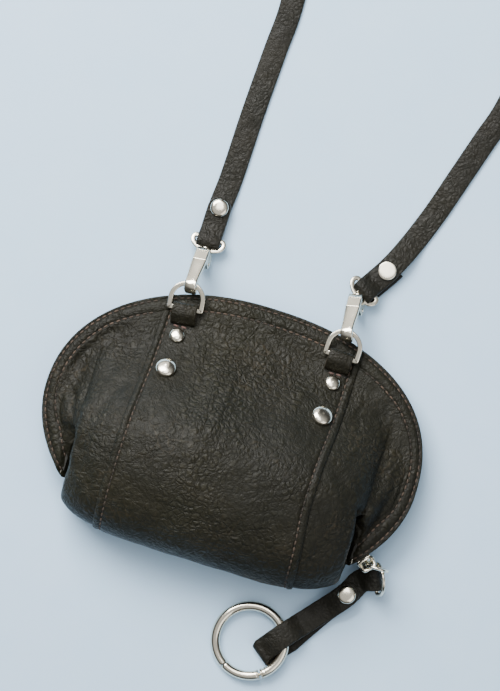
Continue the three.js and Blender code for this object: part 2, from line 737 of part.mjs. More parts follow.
// Puller ring: it passes under the bridge and round the leash's D-ring.
const pullerSeat = V(0, SLIDER_PLATE / 2 + CLEARANCE + PULLER_WIRE / 2, 0).applyMatrix4(plateFrame);
const pullerReach = V(Math.cos(rad(PULLER_LIFT)), 0, Math.sin(rad(PULLER_LIFT)));
const pullerCentre = pullerSeat.clone().addScaledVector(pullerReach, PULLER_RADIUS);
const pullerUp = V(0, -1, 0).cross(pullerReach);
const pullerFrame = frame(pullerCentre, pullerReach, pullerUp, V(0, -1, 0));
const puller = flatLoop(ringPath(PULLER_RADIUS, 16), PULLER_WIRE);
piece("puller_ring", solidOf(puller, pullerFrame), METAL_FINISH);

// Clasps. In a clasp's own frame x runs from the swivel to the hook, y is up and z is across.
const HOOK_RADIUS = (CLASP_DEPTH - 2 * CLASP_SPINE) / 2;
const HOOK_X = CLASP_LENGTH - CLASP_SPINE - HOOK_RADIUS;
const GATE_GAP_X = HOOK_X - HOOK_RADIUS * 1.5;
const GATE_X = GATE_GAP_X - CLEARANCE;
const PIVOT = new THREE.Vector2(CLASP_BLOCK * 0.66, -CLASP_DEPTH * 0.3);
const PIVOT_RADIUS = CLASP_PIN / 2 + CLEARANCE + 0.7;
const WIRE_SEAT = V(HOOK_X + HOOK_RADIUS - 4 * CLEARANCE - D_WIRE / 2, CLEARANCE, 0);
function flatPiece(shape, width) {
  const geometry = new THREE.ExtrudeGeometry(shape, {
    depth: width,
    bevelEnabled: false,
    curveSegments: 8,
  });
  return geometry.translate(0, 0, -width / 2);
}
function claspBody() {
  const half = CLASP_DEPTH / 2;
  const hook = new THREE.Shape();
  hook.moveTo(CLASP_BLOCK * 0.5, half);
  hook.lineTo(CLASP_BLOCK * 0.5, HOOK_RADIUS);
  hook.lineTo(HOOK_X, HOOK_RADIUS);
  hook.absarc(HOOK_X, 0, HOOK_RADIUS, Math.PI / 2, -Math.PI / 2, true);
  hook.lineTo(GATE_GAP_X, -HOOK_RADIUS);
  hook.lineTo(GATE_GAP_X, -half);
  hook.lineTo(HOOK_X, -half);
  hook.absarc(HOOK_X, 0, half, -Math.PI / 2, Math.PI / 2, false);
  const bevel = 1.4;
  const base = new THREE.Shape();
  base.moveTo(0, -half + bevel);
  base.lineTo(bevel, -half);
  base.lineTo(CLASP_BLOCK, -half);
  base.lineTo(CLASP_BLOCK, half);
  base.lineTo(bevel, half);
  base.lineTo(0, half - bevel);
  let body = solidOf(flatPiece(base, BLOCK_WIDTH)).add(solidOf(flatPiece(hook, CLASP_WIDTH)));
  const slotFrom = PIVOT.x - PIVOT_RADIUS - 2 * CLEARANCE;
  const slotTop = PIVOT.y + PIVOT_RADIUS + 2 * CLEARANCE;
  const slotBox = new THREE.BoxGeometry(CLASP_BLOCK, CLASP_DEPTH, LEVER + 2 * CLEARANCE);
  slotBox.translate(slotFrom + CLASP_BLOCK / 2, slotTop - CLASP_DEPTH / 2, 0);
  body = body.subtract(solidOf(slotBox));
  const pin = new THREE.CylinderGeometry(CLASP_PIN / 2, CLASP_PIN / 2, BLOCK_WIDTH * 0.9, 10);
  body = body.add(solidOf(pin.rotateX(Math.PI / 2).translate(PIVOT.x, PIVOT.y, 0)));
  const swivel = turned(
    [
      [0, -SWIVEL_REACH - SWIVEL_HEAD],
      [NECK_HEAD / 2, -SWIVEL_REACH - SWIVEL_HEAD],
      [NECK_HEAD / 2, -SWIVEL_REACH],
      [NECK / 2, -SWIVEL_REACH],
      [NECK / 2, CLASP_BLOCK * 0.2],
      [0, CLASP_BLOCK * 0.2],
    ],
    12
  );
  return body.add(solidOf(swivel.rotateY(Math.PI / 2)));
}
function claspLever() {
  const half = CLASP_DEPTH / 2;
  const arm = new THREE.Shape();
  arm.moveTo(PIVOT.x, -half + CLEARANCE / 2);
  arm.lineTo(GATE_X, -half + CLEARANCE / 2);
  arm.lineTo(GATE_X, -HOOK_RADIUS - CLEARANCE / 2);
  arm.lineTo(PIVOT.x, PIVOT.y + CLASP_PIN / 2 + CLEARANCE);
  const thumb = new THREE.Shape();
  thumb.moveTo(PIVOT.x - PIVOT_RADIUS * 0.7, PIVOT.y);
  thumb.lineTo(PIVOT.x - PIVOT_RADIUS * 0.9, -half - THUMB);
  thumb.lineTo(PIVOT.x + PIVOT_RADIUS * 0.9, -half - THUMB * 0.8);
  thumb.lineTo(PIVOT.x + PIVOT_RADIUS * 0.9, PIVOT.y);
  const hub = new THREE.Shape().absarc(PIVOT.x, PIVOT.y, PIVOT_RADIUS, 0, 2 * Math.PI);
  const bore = new THREE.Shape().absarc(PIVOT.x, PIVOT.y, CLASP_PIN / 2 + CLEARANCE, 0, 2 * Math.PI);
  let lever = solidOf(flatPiece(arm, LEVER));
  lever = lever.add(solidOf(flatPiece(thumb, LEVER))).add(solidOf(flatPiece(hub, LEVER)));
  return lever.subtract(solidOf(flatPiece(bore, LEVER * 2)));
}

// The eye of a swivel: a D-ring with a boss at the top of its arch that turns on the neck.
const EYE_ARCH = CLEARANCE + SWIVEL_BOSS * 0.45; // block to the arch
function claspEye(eyeInClasp) {
  const loop = solidOf(flatLoop(dPath(EYE_WIDTH, EYE_HEIGHT, EYE_WIRE), EYE_WIRE), eyeInClasp);
  const boss = new THREE.CylinderGeometry(NECK_HEAD * 0.7, NECK_HEAD * 0.7, SWIVEL_BOSS, 12);
  const bossX = -CLEARANCE - SWIVEL_BOSS / 2;
  boss.rotateZ(Math.PI / 2).translate(bossX, 0, 0);
  const bore = new THREE.CylinderGeometry(NECK / 2 + CLEARANCE, NECK / 2 + CLEARANCE, 20, 12);
  bore.rotateZ(Math.PI / 2);
  return loop.add(solidOf(boss)).subtract(solidOf(bore));
}

const eyeBars = {};
for (const { word, sign } of SIDES) {
  // The hook hangs on the arch of its D-ring and the swivel lies lower, towards the strap.
  const wire = dRings[word];
  const swing = rad(CLASP_SWING[word]);
  const rise = rad(CLASP_RISE);
  const toHook = V(-Math.sin(swing) * Math.cos(rise), -Math.cos(swing) * Math.cos(rise), Math.sin(rise));
  const across = V(0, 0, 1).cross(toHook).normalize();
  const upright = toHook.clone().cross(across);
  const roll = rad(CLASP_ROLL[word]);
  const up = upright.clone().multiplyScalar(Math.cos(roll)).addScaledVector(across, -Math.sin(roll));
  const wide = toHook.clone().cross(up);
  const placed = frame(V(0, 0, 0), toHook, up, wide);
  const seat = WIRE_SEAT.clone().applyMatrix4(placed);
  placed.setPosition(wire.clone().sub(seat));
  piece(`clasp_body_${word}`, solidOf(geometryOf(claspBody()), placed), METAL_FINISH);
  piece(`clasp_lever_${word}`, solidOf(geometryOf(claspLever()), placed), METAL_FINISH);

  // The eye lies nearly level, from the swivel to the bar in the strap's fold.
  const turnEye = rad(EYE_SWING[word]);
  const drop = rad(EYE_DROP);
  const toBar = V(Math.sin(turnEye) * Math.cos(drop), Math.cos(turnEye) * Math.cos(drop), -Math.sin(drop));
  const eyeAcross = V(0, 0, 1).cross(toBar).normalize();
  const arch = V(-EYE_ARCH, 0, 0).applyMatrix4(placed);
  const bar = arch.clone().addScaledVector(toBar, EYE_HEIGHT - EYE_WIRE);
  const toArch = toBar.clone().negate();
  const eyeFrame = frame(bar, eyeAcross, toArch, eyeAcross.clone().cross(toArch));
  const eyeInClasp = placed.clone().invert().multiply(eyeFrame);
  piece(`clasp_eye_${word}`, solidOf(geometryOf(claspEye(eyeInClasp)), placed), METAL_FINISH);
  eyeBars[word] = { bar, heading: toBar.clone().setZ(0).normalize() };
}

// Strap: each end is folded round the bar of its eye and riveted.

// The strap's line on the ground, from the left eye's bar to the right one's.
const STRAP_LEFT = [[-35, 96], [-34, 110], [-33.3, 140], [-32, 170], [-31, 192]];
const STRAP_RIGHT = [[73.4, 175], [68.8, 160], [62.7, 140], [56.5, 120], [48.8, 100], [44.3, 91]];
const LOOP_MIDDLE = V(21, 184, 0);
// The loop beyond, as shares of its size.
const LOOP = [
  { x: -0.19, y: 0.3 },
  { x: -0.235, y: 0.62 },
  { x: -0.15, y: 0.91 },
  { x: 0, y: 1 },
  { x: 0.15, y: 0.91 },
  { x: 0.235, y: 0.62 },
  { x: 0.2, y: 0.3 },
];
const STRAP_STEP = 22;
const FOLD_LEAD = 6; // straight stretch next to a bar
const layerStep = (leather) => leather + CLEARANCE;
const flat = (point) => point.clone().setZ(0);

// The hairpin of a strip round a bar, from above it to below it, or back.
function hairpin(bar, heading, side, radius, fromAngle, toAngle) {
  return Array.from({ length: 7 }, (_, i) => {
    const angle = rad(share(fromAngle, toAngle, i / 6));
    const p = bar.clone().addScaledVector(heading, radius * Math.cos(angle));
    p.z += radius * Math.sin(angle);
    return { p, side };
  });
}

// A strip's height along its line, from rows of distance and height.
function heightAlong(rows, s) {
  if (s <= rows[0][0]) return rows[0][1];
  for (let i = 1; i < rows.length; i++) {
    const [from, low] = rows[i - 1];
    const [to, high] = rows[i];
    if (s > to) continue;
    const k = (s - from) / (to - from);
    return share(low, high, k * k * (3 - 2 * k));
  }
  return rows.at(-1)[1];
}

function lineStation(curve, length, s, z) {
  const k = THREE.MathUtils.clamp(s / length, 0, 1);
  const tangent = curve.getTangentAt(k);
  return { p: curve.getPointAt(k).setZ(z), side: V(-tangent.y, tangent.x, 0).normalize() };
}

// Stations of one layer from one distance along the line to another.
function layerRun(curve, length, rows, from, to, step) {
  const count = Math.max(1, Math.round(Math.abs(to - from) / step));
  return Array.from({ length: count + 1 }, (_, i) => {
    const s = share(from, to, i / count);
    return lineStation(curve, length, s, heightAlong(rows, s));
  });
}

// A rounded end: the first stations of a strip, narrowed.
function roundTip(curve, length, rows, tip, inward, width) {
  return [0, 0.12, 0.35, 0.7].map((k) => {
    const s = tip + (inward * width * k) / 2;
    const station = lineStation(curve, length, s, heightAlong(rows, s));
    return { ...station, narrow: Math.sqrt(1 - (1 - k) ** 2) * 0.94 + 0.06 };
  });
}

const FOLD_RADIUS = EYE_WIRE / 2 + CLEARANCE + STRAP_LEATHER / 2;
const ON_GROUND = STRAP_LEATHER / 2;
const RIVETED_LOW = RIVET_CAP + CLEARANCE / 2 + STRAP_LEATHER / 2;
const RIVETED_HIGH = RIVETED_LOW + layerStep(STRAP_LEATHER);
const FOLD_TIP = { left: 20.5, right: 17 }; // bar to the end of the folded piece

function strapStations(size) {
  const plan = (points) => points.map(([x, y]) => V(x, y, 0));
  const loop = LOOP.map(({ x, y }) => V(x * size, y * size, 0).add(LOOP_MIDDLE));
  const [left, right] = [eyeBars.left, eyeBars.right];
  const lead = ({ bar, heading }) => flat(bar).addScaledVector(heading, FOLD_LEAD);
  const points = [
    flat(left.bar),
    lead(left),
    ...plan(STRAP_LEFT),
    ...loop,
    ...plan(STRAP_RIGHT),
    lead(right),
    flat(right.bar),
  ];
  const curve = new THREE.CatmullRomCurve3(points, false, "centripetal");
  curve.arcLengthDivisions = 600;
  const length = curve.getLength();
  const lowLeft = [
    [0, left.bar.z - FOLD_RADIUS],
    [5, RIVETED_LOW],
    [17, RIVETED_LOW],
    [28, ON_GROUND],
  ];
  const fromRight = (rows) => rows.map(([s, z]) => [length - s, z]).reverse();
  const highRight = fromRight([
    [0, right.bar.z + FOLD_RADIUS],
    [7, RIVETED_HIGH],
    [19, RIVETED_HIGH],
    [34, ON_GROUND],
  ]);
  const main = [...lowLeft, ...highRight];
  const topLeft = [
    [0, left.bar.z + FOLD_RADIUS],
    [7, RIVETED_HIGH],
    [30, RIVETED_HIGH],
  ];
  const underRight = fromRight([
    [0, right.bar.z - FOLD_RADIUS],
    [5, RIVETED_LOW],
    [30, RIVETED_LOW],
  ]);
  const start = V(-left.heading.y, left.heading.x, 0);
  const end = V(right.heading.y, -right.heading.x, 0);
  const near = 1.2; // bar to the first station of each layer
  return [
    ...roundTip(curve, length, topLeft, FOLD_TIP.left, -1, STRAP_WIDTH),
    ...layerRun(curve, length, topLeft, FOLD_TIP.left - STRAP_WIDTH / 2, near, 4),
    ...hairpin(left.bar, left.heading, start, FOLD_RADIUS, 90, 270),
    ...layerRun(curve, length, main, near, 34, 5),
    ...layerRun(curve, length, main, 34 + STRAP_STEP, length - 40 - STRAP_STEP, STRAP_STEP),
    ...layerRun(curve, length, main, length - 40, length - near, 5),
    ...hairpin(right.bar, right.heading, end, FOLD_RADIUS, 90, 270),
    ...layerRun(curve, length, underRight, length - near, length - FOLD_TIP.right, 4),
  ];
}
const pathLength = (stations) =>
  stations.slice(1).reduce((sum, { p }, i) => sum + p.distanceTo(stations[i].p), 0);

// The loop's size follows from the strap's real length.
function loopSize() {
  let [small, large] = [STRAP_LENGTH * 0.02, STRAP_LENGTH];
  for (let i = 0; i < 30; i++) {
    const middle = (small + large) / 2;
    if (pathLength(strapStations(middle)) < STRAP_LENGTH) small = middle;
    else large = middle;
  }
  return small;
}
let strap = strip(strapStations(loopSize()), STRAP_WIDTH, STRAP_LEATHER);
const strapGrip = RIVETED_HIGH + STRAP_LEATHER / 2 + CLEARANCE - RIVET_CAP;
for (const [word, [x, y]] of [["left", STRAP_LEFT[0]], ["right", STRAP_RIGHT.at(-1)]]) {
  const place = new THREE.Matrix4().makeTranslation(x, y, RIVET_CAP + strapGrip);
  strap = strap.subtract(solidOf(stemHole(strapGrip * 3), place));
  piece(`strap_rivet_${word}`, solidOf(rivet(RIVET, RIVET * 0.26, strapGrip), place), METAL_FINISH);
}
piece("strap", strap, STRAP_FINISH);

// Leash: its D-ring hangs in the puller ring, and its folded loop holds the key ring.
const leashAcross = V(Math.cos(rad(LEASH_D_TURN)), Math.sin(rad(LEASH_D_TURN)), 0);
const leashOut = V(-leashAcross.y, leashAcross.x, 0);
const dUp = leashOut.clone().multiplyScalar(Math.cos(rad(LEASH_D_RISE))).setZ(Math.sin(rad(LEASH_D_RISE)));
const dHalf = (D_WIDTH - D_WIRE) / 2;
const dLeg = D_HEIGHT - D_WIRE - dHalf;
const caught = V(-dHalf * 0.62, dLeg + dHalf * 0.78, 0);
const caughtAt = pullerCentre.clone().addScaledVector(
  V(0.94, 0, -0.34),
  PULLER_RADIUS - PULLER_WIRE / 2 - D_WIRE / 2 - 3 * CLEARANCE
);
const leashBar = caughtAt
  .clone()
  .addScaledVector(leashAcross, -caught.x)
  .addScaledVector(dUp, -caught.y);
const leashD = solidOf(
  flatLoop(dPath(D_WIDTH, D_HEIGHT, D_WIRE), D_WIRE),
  frame(leashBar, leashAcross, dUp, leashAcross.clone().cross(dUp))
);
piece("leash_d_ring", leashD, METAL_FINISH);

// The leash's line on the ground, from its rivet to the fold inside the key ring.
const LEASH_LINE = [[69.2, -51], [58.5, -64], [48, -76.1], [39.6, -87]];
const leashPoints = LEASH_LINE.map(([x, y]) => V(x, y, 0));
const leashLead = flat(leashBar).addScaledVector(leashOut, -FOLD_LEAD);
const leashCurve = new THREE.CatmullRomCurve3(
  [flat(leashBar), leashLead, ...leashPoints],
  false,
  "centripetal"
);
const leashLength = leashCurve.getLength();
const nearest = (point) => {
  let best = 0;
  for (let i = 0; i <= 400; i++) {
    const distance = (k) => leashCurve.getPointAt(k).distanceTo(point);
    if (distance(i / 400) < distance(best)) best = i / 400;
  }
  return best * leashLength;
};
const rivetS = nearest(leashPoints[0]);
const ringS = nearest(leashPoints[2]);
const leashStep = layerStep(LEASH_LEATHER);
const leashLow = RIVET_CAP + CLEARANCE / 2 + LEASH_LEATHER / 2;
const leashGround = LEASH_LEATHER / 2;
const leashTurn = D_WIRE / 2 + CLEARANCE + LEASH_LEATHER / 2;
const overRing = leashGround + LEASH_LEATHER + KEY_WIRE + 2 * CLEARANCE;
const foldTurn = KEY_WIRE * 0.42;
const foldS = leashLength - foldTurn;
const upperRows = [
  [rivetS + 3, leashLow + 2 * leashStep],
  [rivetS + 12, leashGround + leashStep * 1.15],
  [ringS - 9, leashGround + leashStep * 1.25],
  [ringS - 2.4, overRing],
  [ringS + 3.6, overRing],
  [foldS, leashGround + 2 * foldTurn],
];
const middleRows = [
  [0, leashBar.z + leashTurn],
  [rivetS - 6, leashLow + leashStep],
  [rivetS + 5, leashLow + leashStep],
  [rivetS + 12, leashGround],
];
const underRows = [
  [0, leashBar.z - leashTurn],
  [rivetS - 5, leashLow],
  [rivetS + 9, leashLow],
];
const leashRun = (rows, from, to, step) => layerRun(leashCurve, leashLength, rows, from, to, step);
const barSide = lineStation(leashCurve, leashLength, 0, 0).side;
const foldSide = lineStation(leashCurve, leashLength, leashLength, 0).side;
const foldAt = leashCurve.getPointAt(foldS / leashLength).setZ(leashGround + foldTurn);
const leashStations = [
  ...roundTip(leashCurve, leashLength, upperRows, rivetS - LEASH_WIDTH / 2, 1, LEASH_WIDTH),
  ...leashRun(upperRows, rivetS, foldS - 0.6, 3.4),
  ...hairpin(foldAt, V(foldSide.y, -foldSide.x, 0), foldSide, foldTurn, 90, -90),
  ...leashRun(middleRows, foldS - 0.6, 0.6, 4.5),
  ...hairpin(leashBar, V(barSide.y, -barSide.x, 0), barSide, leashTurn, 90, 270),
  ...leashRun(underRows, 0.6, rivetS + 4.5, 4),
];
let leash = strip(leashStations, LEASH_WIDTH, LEASH_LEATHER);
const leashGrip = leashLow + 2 * leashStep + LEASH_LEATHER / 2 + CLEARANCE - RIVET_CAP;
const leashPlace = new THREE.Matrix4().makeTranslation(
  leashPoints[0].x,
  leashPoints[0].y,
  RIVET_CAP + leashGrip
);
leash = leash.subtract(solidOf(stemHole(leashGrip * 3), leashPlace));
piece("leash_strap", leash, STRAP_FINISH);
piece("leash_rivet", solidOf(rivet(RIVET, RIVET * 0.26, leashGrip), leashPlace), METAL_FINISH);

// Key ring, in its own frame: x points to where the leash crosses it.
const KEY_CENTRE = V(34.2, -83.2, 0);
const keyRadius = (KEY_RING - KEY_WIRE) / 2;
const keyLift = leashGround + LEASH_LEATHER / 2 + CLEARANCE; // how much higher the crossing is
const crossing = leashPoints[2].clone().sub(KEY_CENTRE).normalize();
const keyTilt = Math.asin(keyLift / (2 * keyRadius));
const keyX = crossing.clone().multiplyScalar(Math.cos(keyTilt)).setZ(Math.sin(keyTilt));
const keyY = V(-crossing.y, crossing.x, 0);
const keyHeight = KEY_WIRE / 2 + keyLift / 2;
const keyFrame = frame(KEY_CENTRE.clone().setZ(keyHeight), keyX, keyY, keyX.clone().cross(keyY));
const onKey = (angle) => V(keyRadius * Math.cos(rad(angle)), keyRadius * Math.sin(rad(angle)), 0);
function keyArc(from, to) {
  const steps = Math.ceil((to - from) / 15);
  const rings = [];
  for (let i = 0; i <= steps; i++) {
    const p = onKey(share(from, to, i / steps));
    rings.push(wireRing(p, p.clone().normalize(), V(0, 0, 1), KEY_WIRE / 2, 8));
  }
  return solidOf(loft(rings));
}
const keyPin = onKey(KEY_PIN_ANGLE);
const keyTip = onKey(KEY_TIP_ANGLE);
const pinToTip = keyPin.distanceTo(keyTip);
const turnedAt = (radius, height, at) => {
  const sides = radius > KEY_WIRE ? 48 : 12;
  const geometry = new THREE.CylinderGeometry(radius, radius, height, sides);
  return solidOf(geometry.rotateX(Math.PI / 2).translate(at.x, at.y, at.z));
};
const atTip = new THREE.BoxGeometry(3 * KEY_WIRE, 3 * KEY_WIRE, 3 * KEY_WIRE);
const tipBox = solidOf(atTip.translate(keyTip.x, keyTip.y, 0));
const pinFrame = frame(
  keyPin,
  V(-keyPin.y, keyPin.x, 0).normalize(),
  keyPin.clone().normalize().negate(),
  V(0, 0, 1)
);
const tongueRadius = KEY_PIN / 2 + CLEARANCE + 0.7;
const forkStart = rad(KEY_FORK) * keyRadius; // pin to the end of the fork
const forkEnd = tongueRadius + 2 * CLEARANCE;
const fork = new THREE.BoxGeometry(forkStart + forkEnd + 1, KEY_WIRE * 1.5, KEY_TONGUE + 2 * CLEARANCE);
fork.translate((forkEnd - forkStart - 1) / 2, 0, 0);
let keyBody = keyArc(KEY_PIN_ANGLE - KEY_FORK, 360 + KEY_TIP_ANGLE + 5);
keyBody = keyBody.subtract(tipBox.intersect(turnedAt(pinToTip + CLEARANCE / 2, 20, keyPin)));
keyBody = keyBody.subtract(solidOf(fork, pinFrame));
keyBody = keyBody.add(turnedAt(KEY_PIN / 2, KEY_WIRE * 0.8, keyPin));
piece("key_ring", solidOf(geometryOf(keyBody), keyFrame), METAL_FINISH);

const gateRoot = KEY_FORK + 5; // degrees from the pin to the end of the gate's round part
let gate = keyArc(KEY_TIP_ANGLE - 6, KEY_PIN_ANGLE - gateRoot);
gate = gate.intersect(turnedAt(pinToTip - CLEARANCE / 2, 20, keyPin));
const tongueLength = rad(gateRoot + 5) * keyRadius;
const tongue = new THREE.BoxGeometry(tongueLength, 2 * tongueRadius, KEY_TONGUE);
tongue.translate(-tongueLength / 2, 0, 0);
gate = gate.add(solidOf(tongue, pinFrame)).add(turnedAt(tongueRadius, KEY_TONGUE, keyPin));
gate = gate.subtract(turnedAt(KEY_PIN / 2 + CLEARANCE, 20, keyPin));
piece("key_ring_gate", solidOf(geometryOf(gate), keyFrame), METAL_FINISH);

export default group;
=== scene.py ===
"""A leather pouch bag with a zip, studs, a clip-on shoulder strap and a leash with a spring ring.

Lengths are in millimetres until a mesh is made, and then in metres. +X runs along the bag,
+Y towards the strap and +Z up from the table that it lies on.
"""
import math
import random

import bmesh
import bpy
import numpy as np
from mathutils import Matrix, Vector, noise


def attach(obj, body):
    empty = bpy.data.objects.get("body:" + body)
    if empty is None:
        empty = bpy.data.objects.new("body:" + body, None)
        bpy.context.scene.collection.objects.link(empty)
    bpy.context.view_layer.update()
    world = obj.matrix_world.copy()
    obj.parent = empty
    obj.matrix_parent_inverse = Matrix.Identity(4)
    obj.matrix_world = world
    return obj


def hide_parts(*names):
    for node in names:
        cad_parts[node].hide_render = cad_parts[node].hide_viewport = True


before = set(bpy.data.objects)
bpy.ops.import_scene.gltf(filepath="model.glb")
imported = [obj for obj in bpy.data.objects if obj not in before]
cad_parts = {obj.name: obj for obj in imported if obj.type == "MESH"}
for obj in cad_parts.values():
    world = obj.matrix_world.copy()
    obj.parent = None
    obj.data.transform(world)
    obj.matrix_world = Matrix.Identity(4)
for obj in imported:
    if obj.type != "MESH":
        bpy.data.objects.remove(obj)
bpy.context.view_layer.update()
MM = 0.001
BAG = "bag"
random.seed(4)

# Sizes of the bag, the same as those of its solids
HALF_LENGTH = 85
TOP_REACH = 60
BOTTOM_REACH = 56
PLEAT_X = 66
PLEAT_Y = -15
BULGE = 41
PLEAT_HEIGHT = 24
WAIST = 18
LEATHER = 1.5
LAP = 0.6
SEAM_X = 44.5
CLEARANCE = 0.3
ZIP_LOW = 7
ZIP_HIGH = 14
FLANGE = 8
FLANGE_RISE = 1.5
SLOT = 3
BACK_RISE_WIDTH = 22
LEFT_ROUNDNESS = 2.12
RIGHT_ROUNDNESS = 2.35
LOWER_SHARE = 1.008
BASE_END = 1.023

# Sizes of the fittings
FITTING_X = 35.8
LARGE_STUD_Y = 21
LARGE_STUD = 9.5
SMALL_STUD_Y = 36.2
SMALL_STUD = 7
TAB_WIDTH = 11
TAB_LEATHER = 1.2
TAB_SLIT_Y = 41
TAB_BAR = 8.2
D_WIRE = 1.8
D_WIDTH = 15.5
D_HEIGHT = 12.4
D_LEAN = 7
SLIDER_LENGTH = 8
SLIDER_WIDTH = 6.5
SLIDER_PLATE = 1.2
SLIDER_TILT = 30
SLIDER_FROM_PLEAT = 5.3
SLIDER_ANGLE = -math.degrees(math.acos((PLEAT_X + SLIDER_FROM_PLEAT) / HALF_LENGTH))
PULLER_RADIUS = 4.6
PULLER_WIRE = 1.6
PULLER_LIFT = 22
BRIDGE_WIRE = 1.4
CHAIN_WIDTH = 2.2

# Sizes of the clasps
CLASP_LENGTH = 22.5
CLASP_DEPTH = 8
CLASP_WIDTH = 4.2
BLOCK_WIDTH = 6.2
CLASP_SPINE = 2.2
CLASP_BLOCK = 7
CLASP_PIN = 1.4
LEVER = 1.6
NECK = 2.4
NECK_HEAD = 4
EYE_WIDTH = 16.2
EYE_WIRE = 2.2
THUMB = 2.4
CLASP_RISE = 31
CLASP_SWING = {"left": 2, "right": -3}
CLASP_ROLL = {"left": 15, "right": 17}

# Sizes of the strap, the leash and the key ring
STRAP_LENGTH = 1000
STRAP_WIDTH = 10.5
STRAP_LEATHER = 1.8
RIVET = 8.2
RIVET_CAP = 0.8
LEASH_WIDTH = 10.5
LEASH_LEATHER = 1.8
KEY_RING = 35
KEY_WIRE = 4
KEY_PIN_ANGLE = 285
KEY_TIP_ANGLE = 211
LEASH_D_TURN = -67
LEASH_D_RISE = 70

# Vectors, frames and lines


def vec(x, y, z=0.0):
    return np.array([x, y, z], float)


def unit(v):
    return v / np.linalg.norm(v, axis=-1, keepdims=True)


def share(low, high, k):
    return low + (high - low) * k


def rad(degrees):
    return np.radians(degrees)


def cos_sin(degrees):
    return math.cos(rad(degrees)), math.sin(rad(degrees))


def bell(distance, width):
    return np.exp(-((distance / width) ** 2))


def stacked(parts):
    return np.stack(np.broadcast_arrays(*parts), -1)


def basis(origin, x, y, z):
    """A frame as a 4x4 matrix, from its origin and its three directions."""
    matrix = np.eye(4)
    matrix[:3, 0], matrix[:3, 1], matrix[:3, 2], matrix[:3, 3] = x, y, z, origin
    return matrix


def placed(matrix, points):
    points = np.asarray(points, float)
    return points @ matrix[:3, :3].T + matrix[:3, 3]


def shifted(x, y, z):
    """A frame that is only moved."""
    return basis(vec(x, y, z), vec(1, 0, 0), vec(0, 1, 0), vec(0, 0, 1))


def arc_points(x, y, radius, angles):
    """Points of an arc about x and y, from angles in radians."""
    return [vec(x + radius * math.cos(a), y + radius * math.sin(a)) for a in angles]


def round_angles(count):
    return np.linspace(0, 2 * np.pi, count, endpoint=False)


def distances(line):
    """The distance along a line to each of its points."""
    return np.concatenate([[0], np.cumsum(np.linalg.norm(np.diff(line, axis=0), axis=1))])


def row_at(s, at, rows):
    """The row that belongs to a distance s, from the distances at of all the rows."""
    return np.array([np.interp(s, at, rows[:, k]) for k in range(3)])


# Meshes


def linked(name, data):
    """A new object in the scene."""
    piece = bpy.data.objects.new(name, data)
    bpy.context.scene.collection.objects.link(piece)
    return piece


def make_mesh(name, points, faces, material, slot, body=BAG, smooth=True):
    """A piece from points in millimetres, riding on its body."""
    mesh = bpy.data.meshes.new(name)
    mesh.from_pydata((np.asarray(points) * MM).tolist(), [], faces)
    mesh.validate()
    mesh.polygons.foreach_set("use_smooth", [smooth] * len(mesh.polygons))
    mesh.materials.append(material)
    piece = linked(name, mesh)
    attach(piece, body)
    return piece


def joined(parts):
    """The points and faces of several parts as one."""
    points, faces, count = [], [], 0
    for part_points, part_faces in parts:
        points.append(np.asarray(part_points, float))
        faces += [[i + count for i in face] for face in part_faces]
        count += len(part_points)
    return np.vstack(points), faces


def grid_faces(rows, columns, joined_rows=False, joined_columns=False, flip=False):
    faces = []
    for i in range(rows if joined_rows else rows - 1):
        for j in range(columns if joined_columns else columns - 1):
            a = i * columns + j
            b = i * columns + (j + 1) % columns
            c = (i + 1) % rows * columns + (j + 1) % columns
            d = (i + 1) % rows * columns + j
            faces.append([a, d, c, b] if flip else [a, b, c, d])
    return faces


def loft(rings, closed=False):
    """A skin through rings of points, with its ends filled unless it is closed."""
    rings = np.asarray(rings, float)
    count, sides = rings.shape[:2]
    faces = grid_faces(count, sides, joined_rows=closed, joined_columns=True, flip=True)
    if not closed:
        faces.append(list(range(sides)))
        faces.append([(count - 1) * sides + i for i in reversed(range(sides))])
    return rings.reshape(-1, 3), faces


def moved(part, matrix):
    points, faces = part
    return placed(matrix, points), faces


def turned(profile, segments=40):
    """A turned part with its axis along z, from rows of radius and height."""
    profile = np.asarray(profile, float)
    angles = round_angles(segments)
    rings = [
        np.column_stack([r * np.cos(angles), r * np.sin(angles), np.full(segments, z)])
        for r, z in profile
    ]
    points, faces = loft(rings)
    return points, [face[::-1] for face in faces]


def tangents(path, closed=False):
    path = np.asarray(path, float)
    if closed:
        return unit(np.roll(path, -1, 0) - np.roll(path, 1, 0))
    return unit(np.gradient(path, axis=0))


def wire(path, radius, closed=False, sides=14, squash=1.0):
    """A wire along a path. squash is its thickness along z, as a share of its width."""
    path = np.asarray(path, float)
    along = tangents(path, closed)
    side = unit(np.cross(along, vec(0, 0, 1)))
    lift = np.cross(side, along)
    angles = round_angles(sides)
    rings = [
        p + radius * (np.outer(np.cos(angles), s) + squash * np.outer(np.sin(angles), u))
        for p, s, u in zip(path, side, lift)
    ]
    return loft(rings, closed)


def spans(points):
    """The four points that shape each span of a curve through points."""
    framed = np.vstack([2 * points[0] - points[1], points, 2 * points[-1] - points[-2]])
    return [framed[i : i + 4] for i in range(len(points) - 1)]


def smooth_line(points, per_span=8):
    """A curve through points, of evenly timed spans."""
    points = np.asarray(points, float)
    line = []
    for p0, p1, p2, p3 in spans(points):
        squared = 2 * p0 - 5 * p1 + 4 * p2 - p3
        cubed = 3 * p1 - p0 - 3 * p2 + p3
        for t in np.arange(per_span) / per_span:
            line.append(0.5 * (2 * p1 + (p2 - p0) * t + squared * t**2 + cubed * t**3))
    return np.array([*line, points[-1]])


BEVEL_ANGLE = 35  # degrees: sharper edges are rounded


def bevelled(piece, width, segments=2):
    """Rounds the sharp edges of a piece."""
    modifier = piece.modifiers.new("bevel", "BEVEL")
    modifier.width = width * MM
    modifier.segments = segments
    modifier.limit_method = "ANGLE"
    modifier.angle_limit = math.radians(BEVEL_ANGLE)
    modifier.harden_normals = True


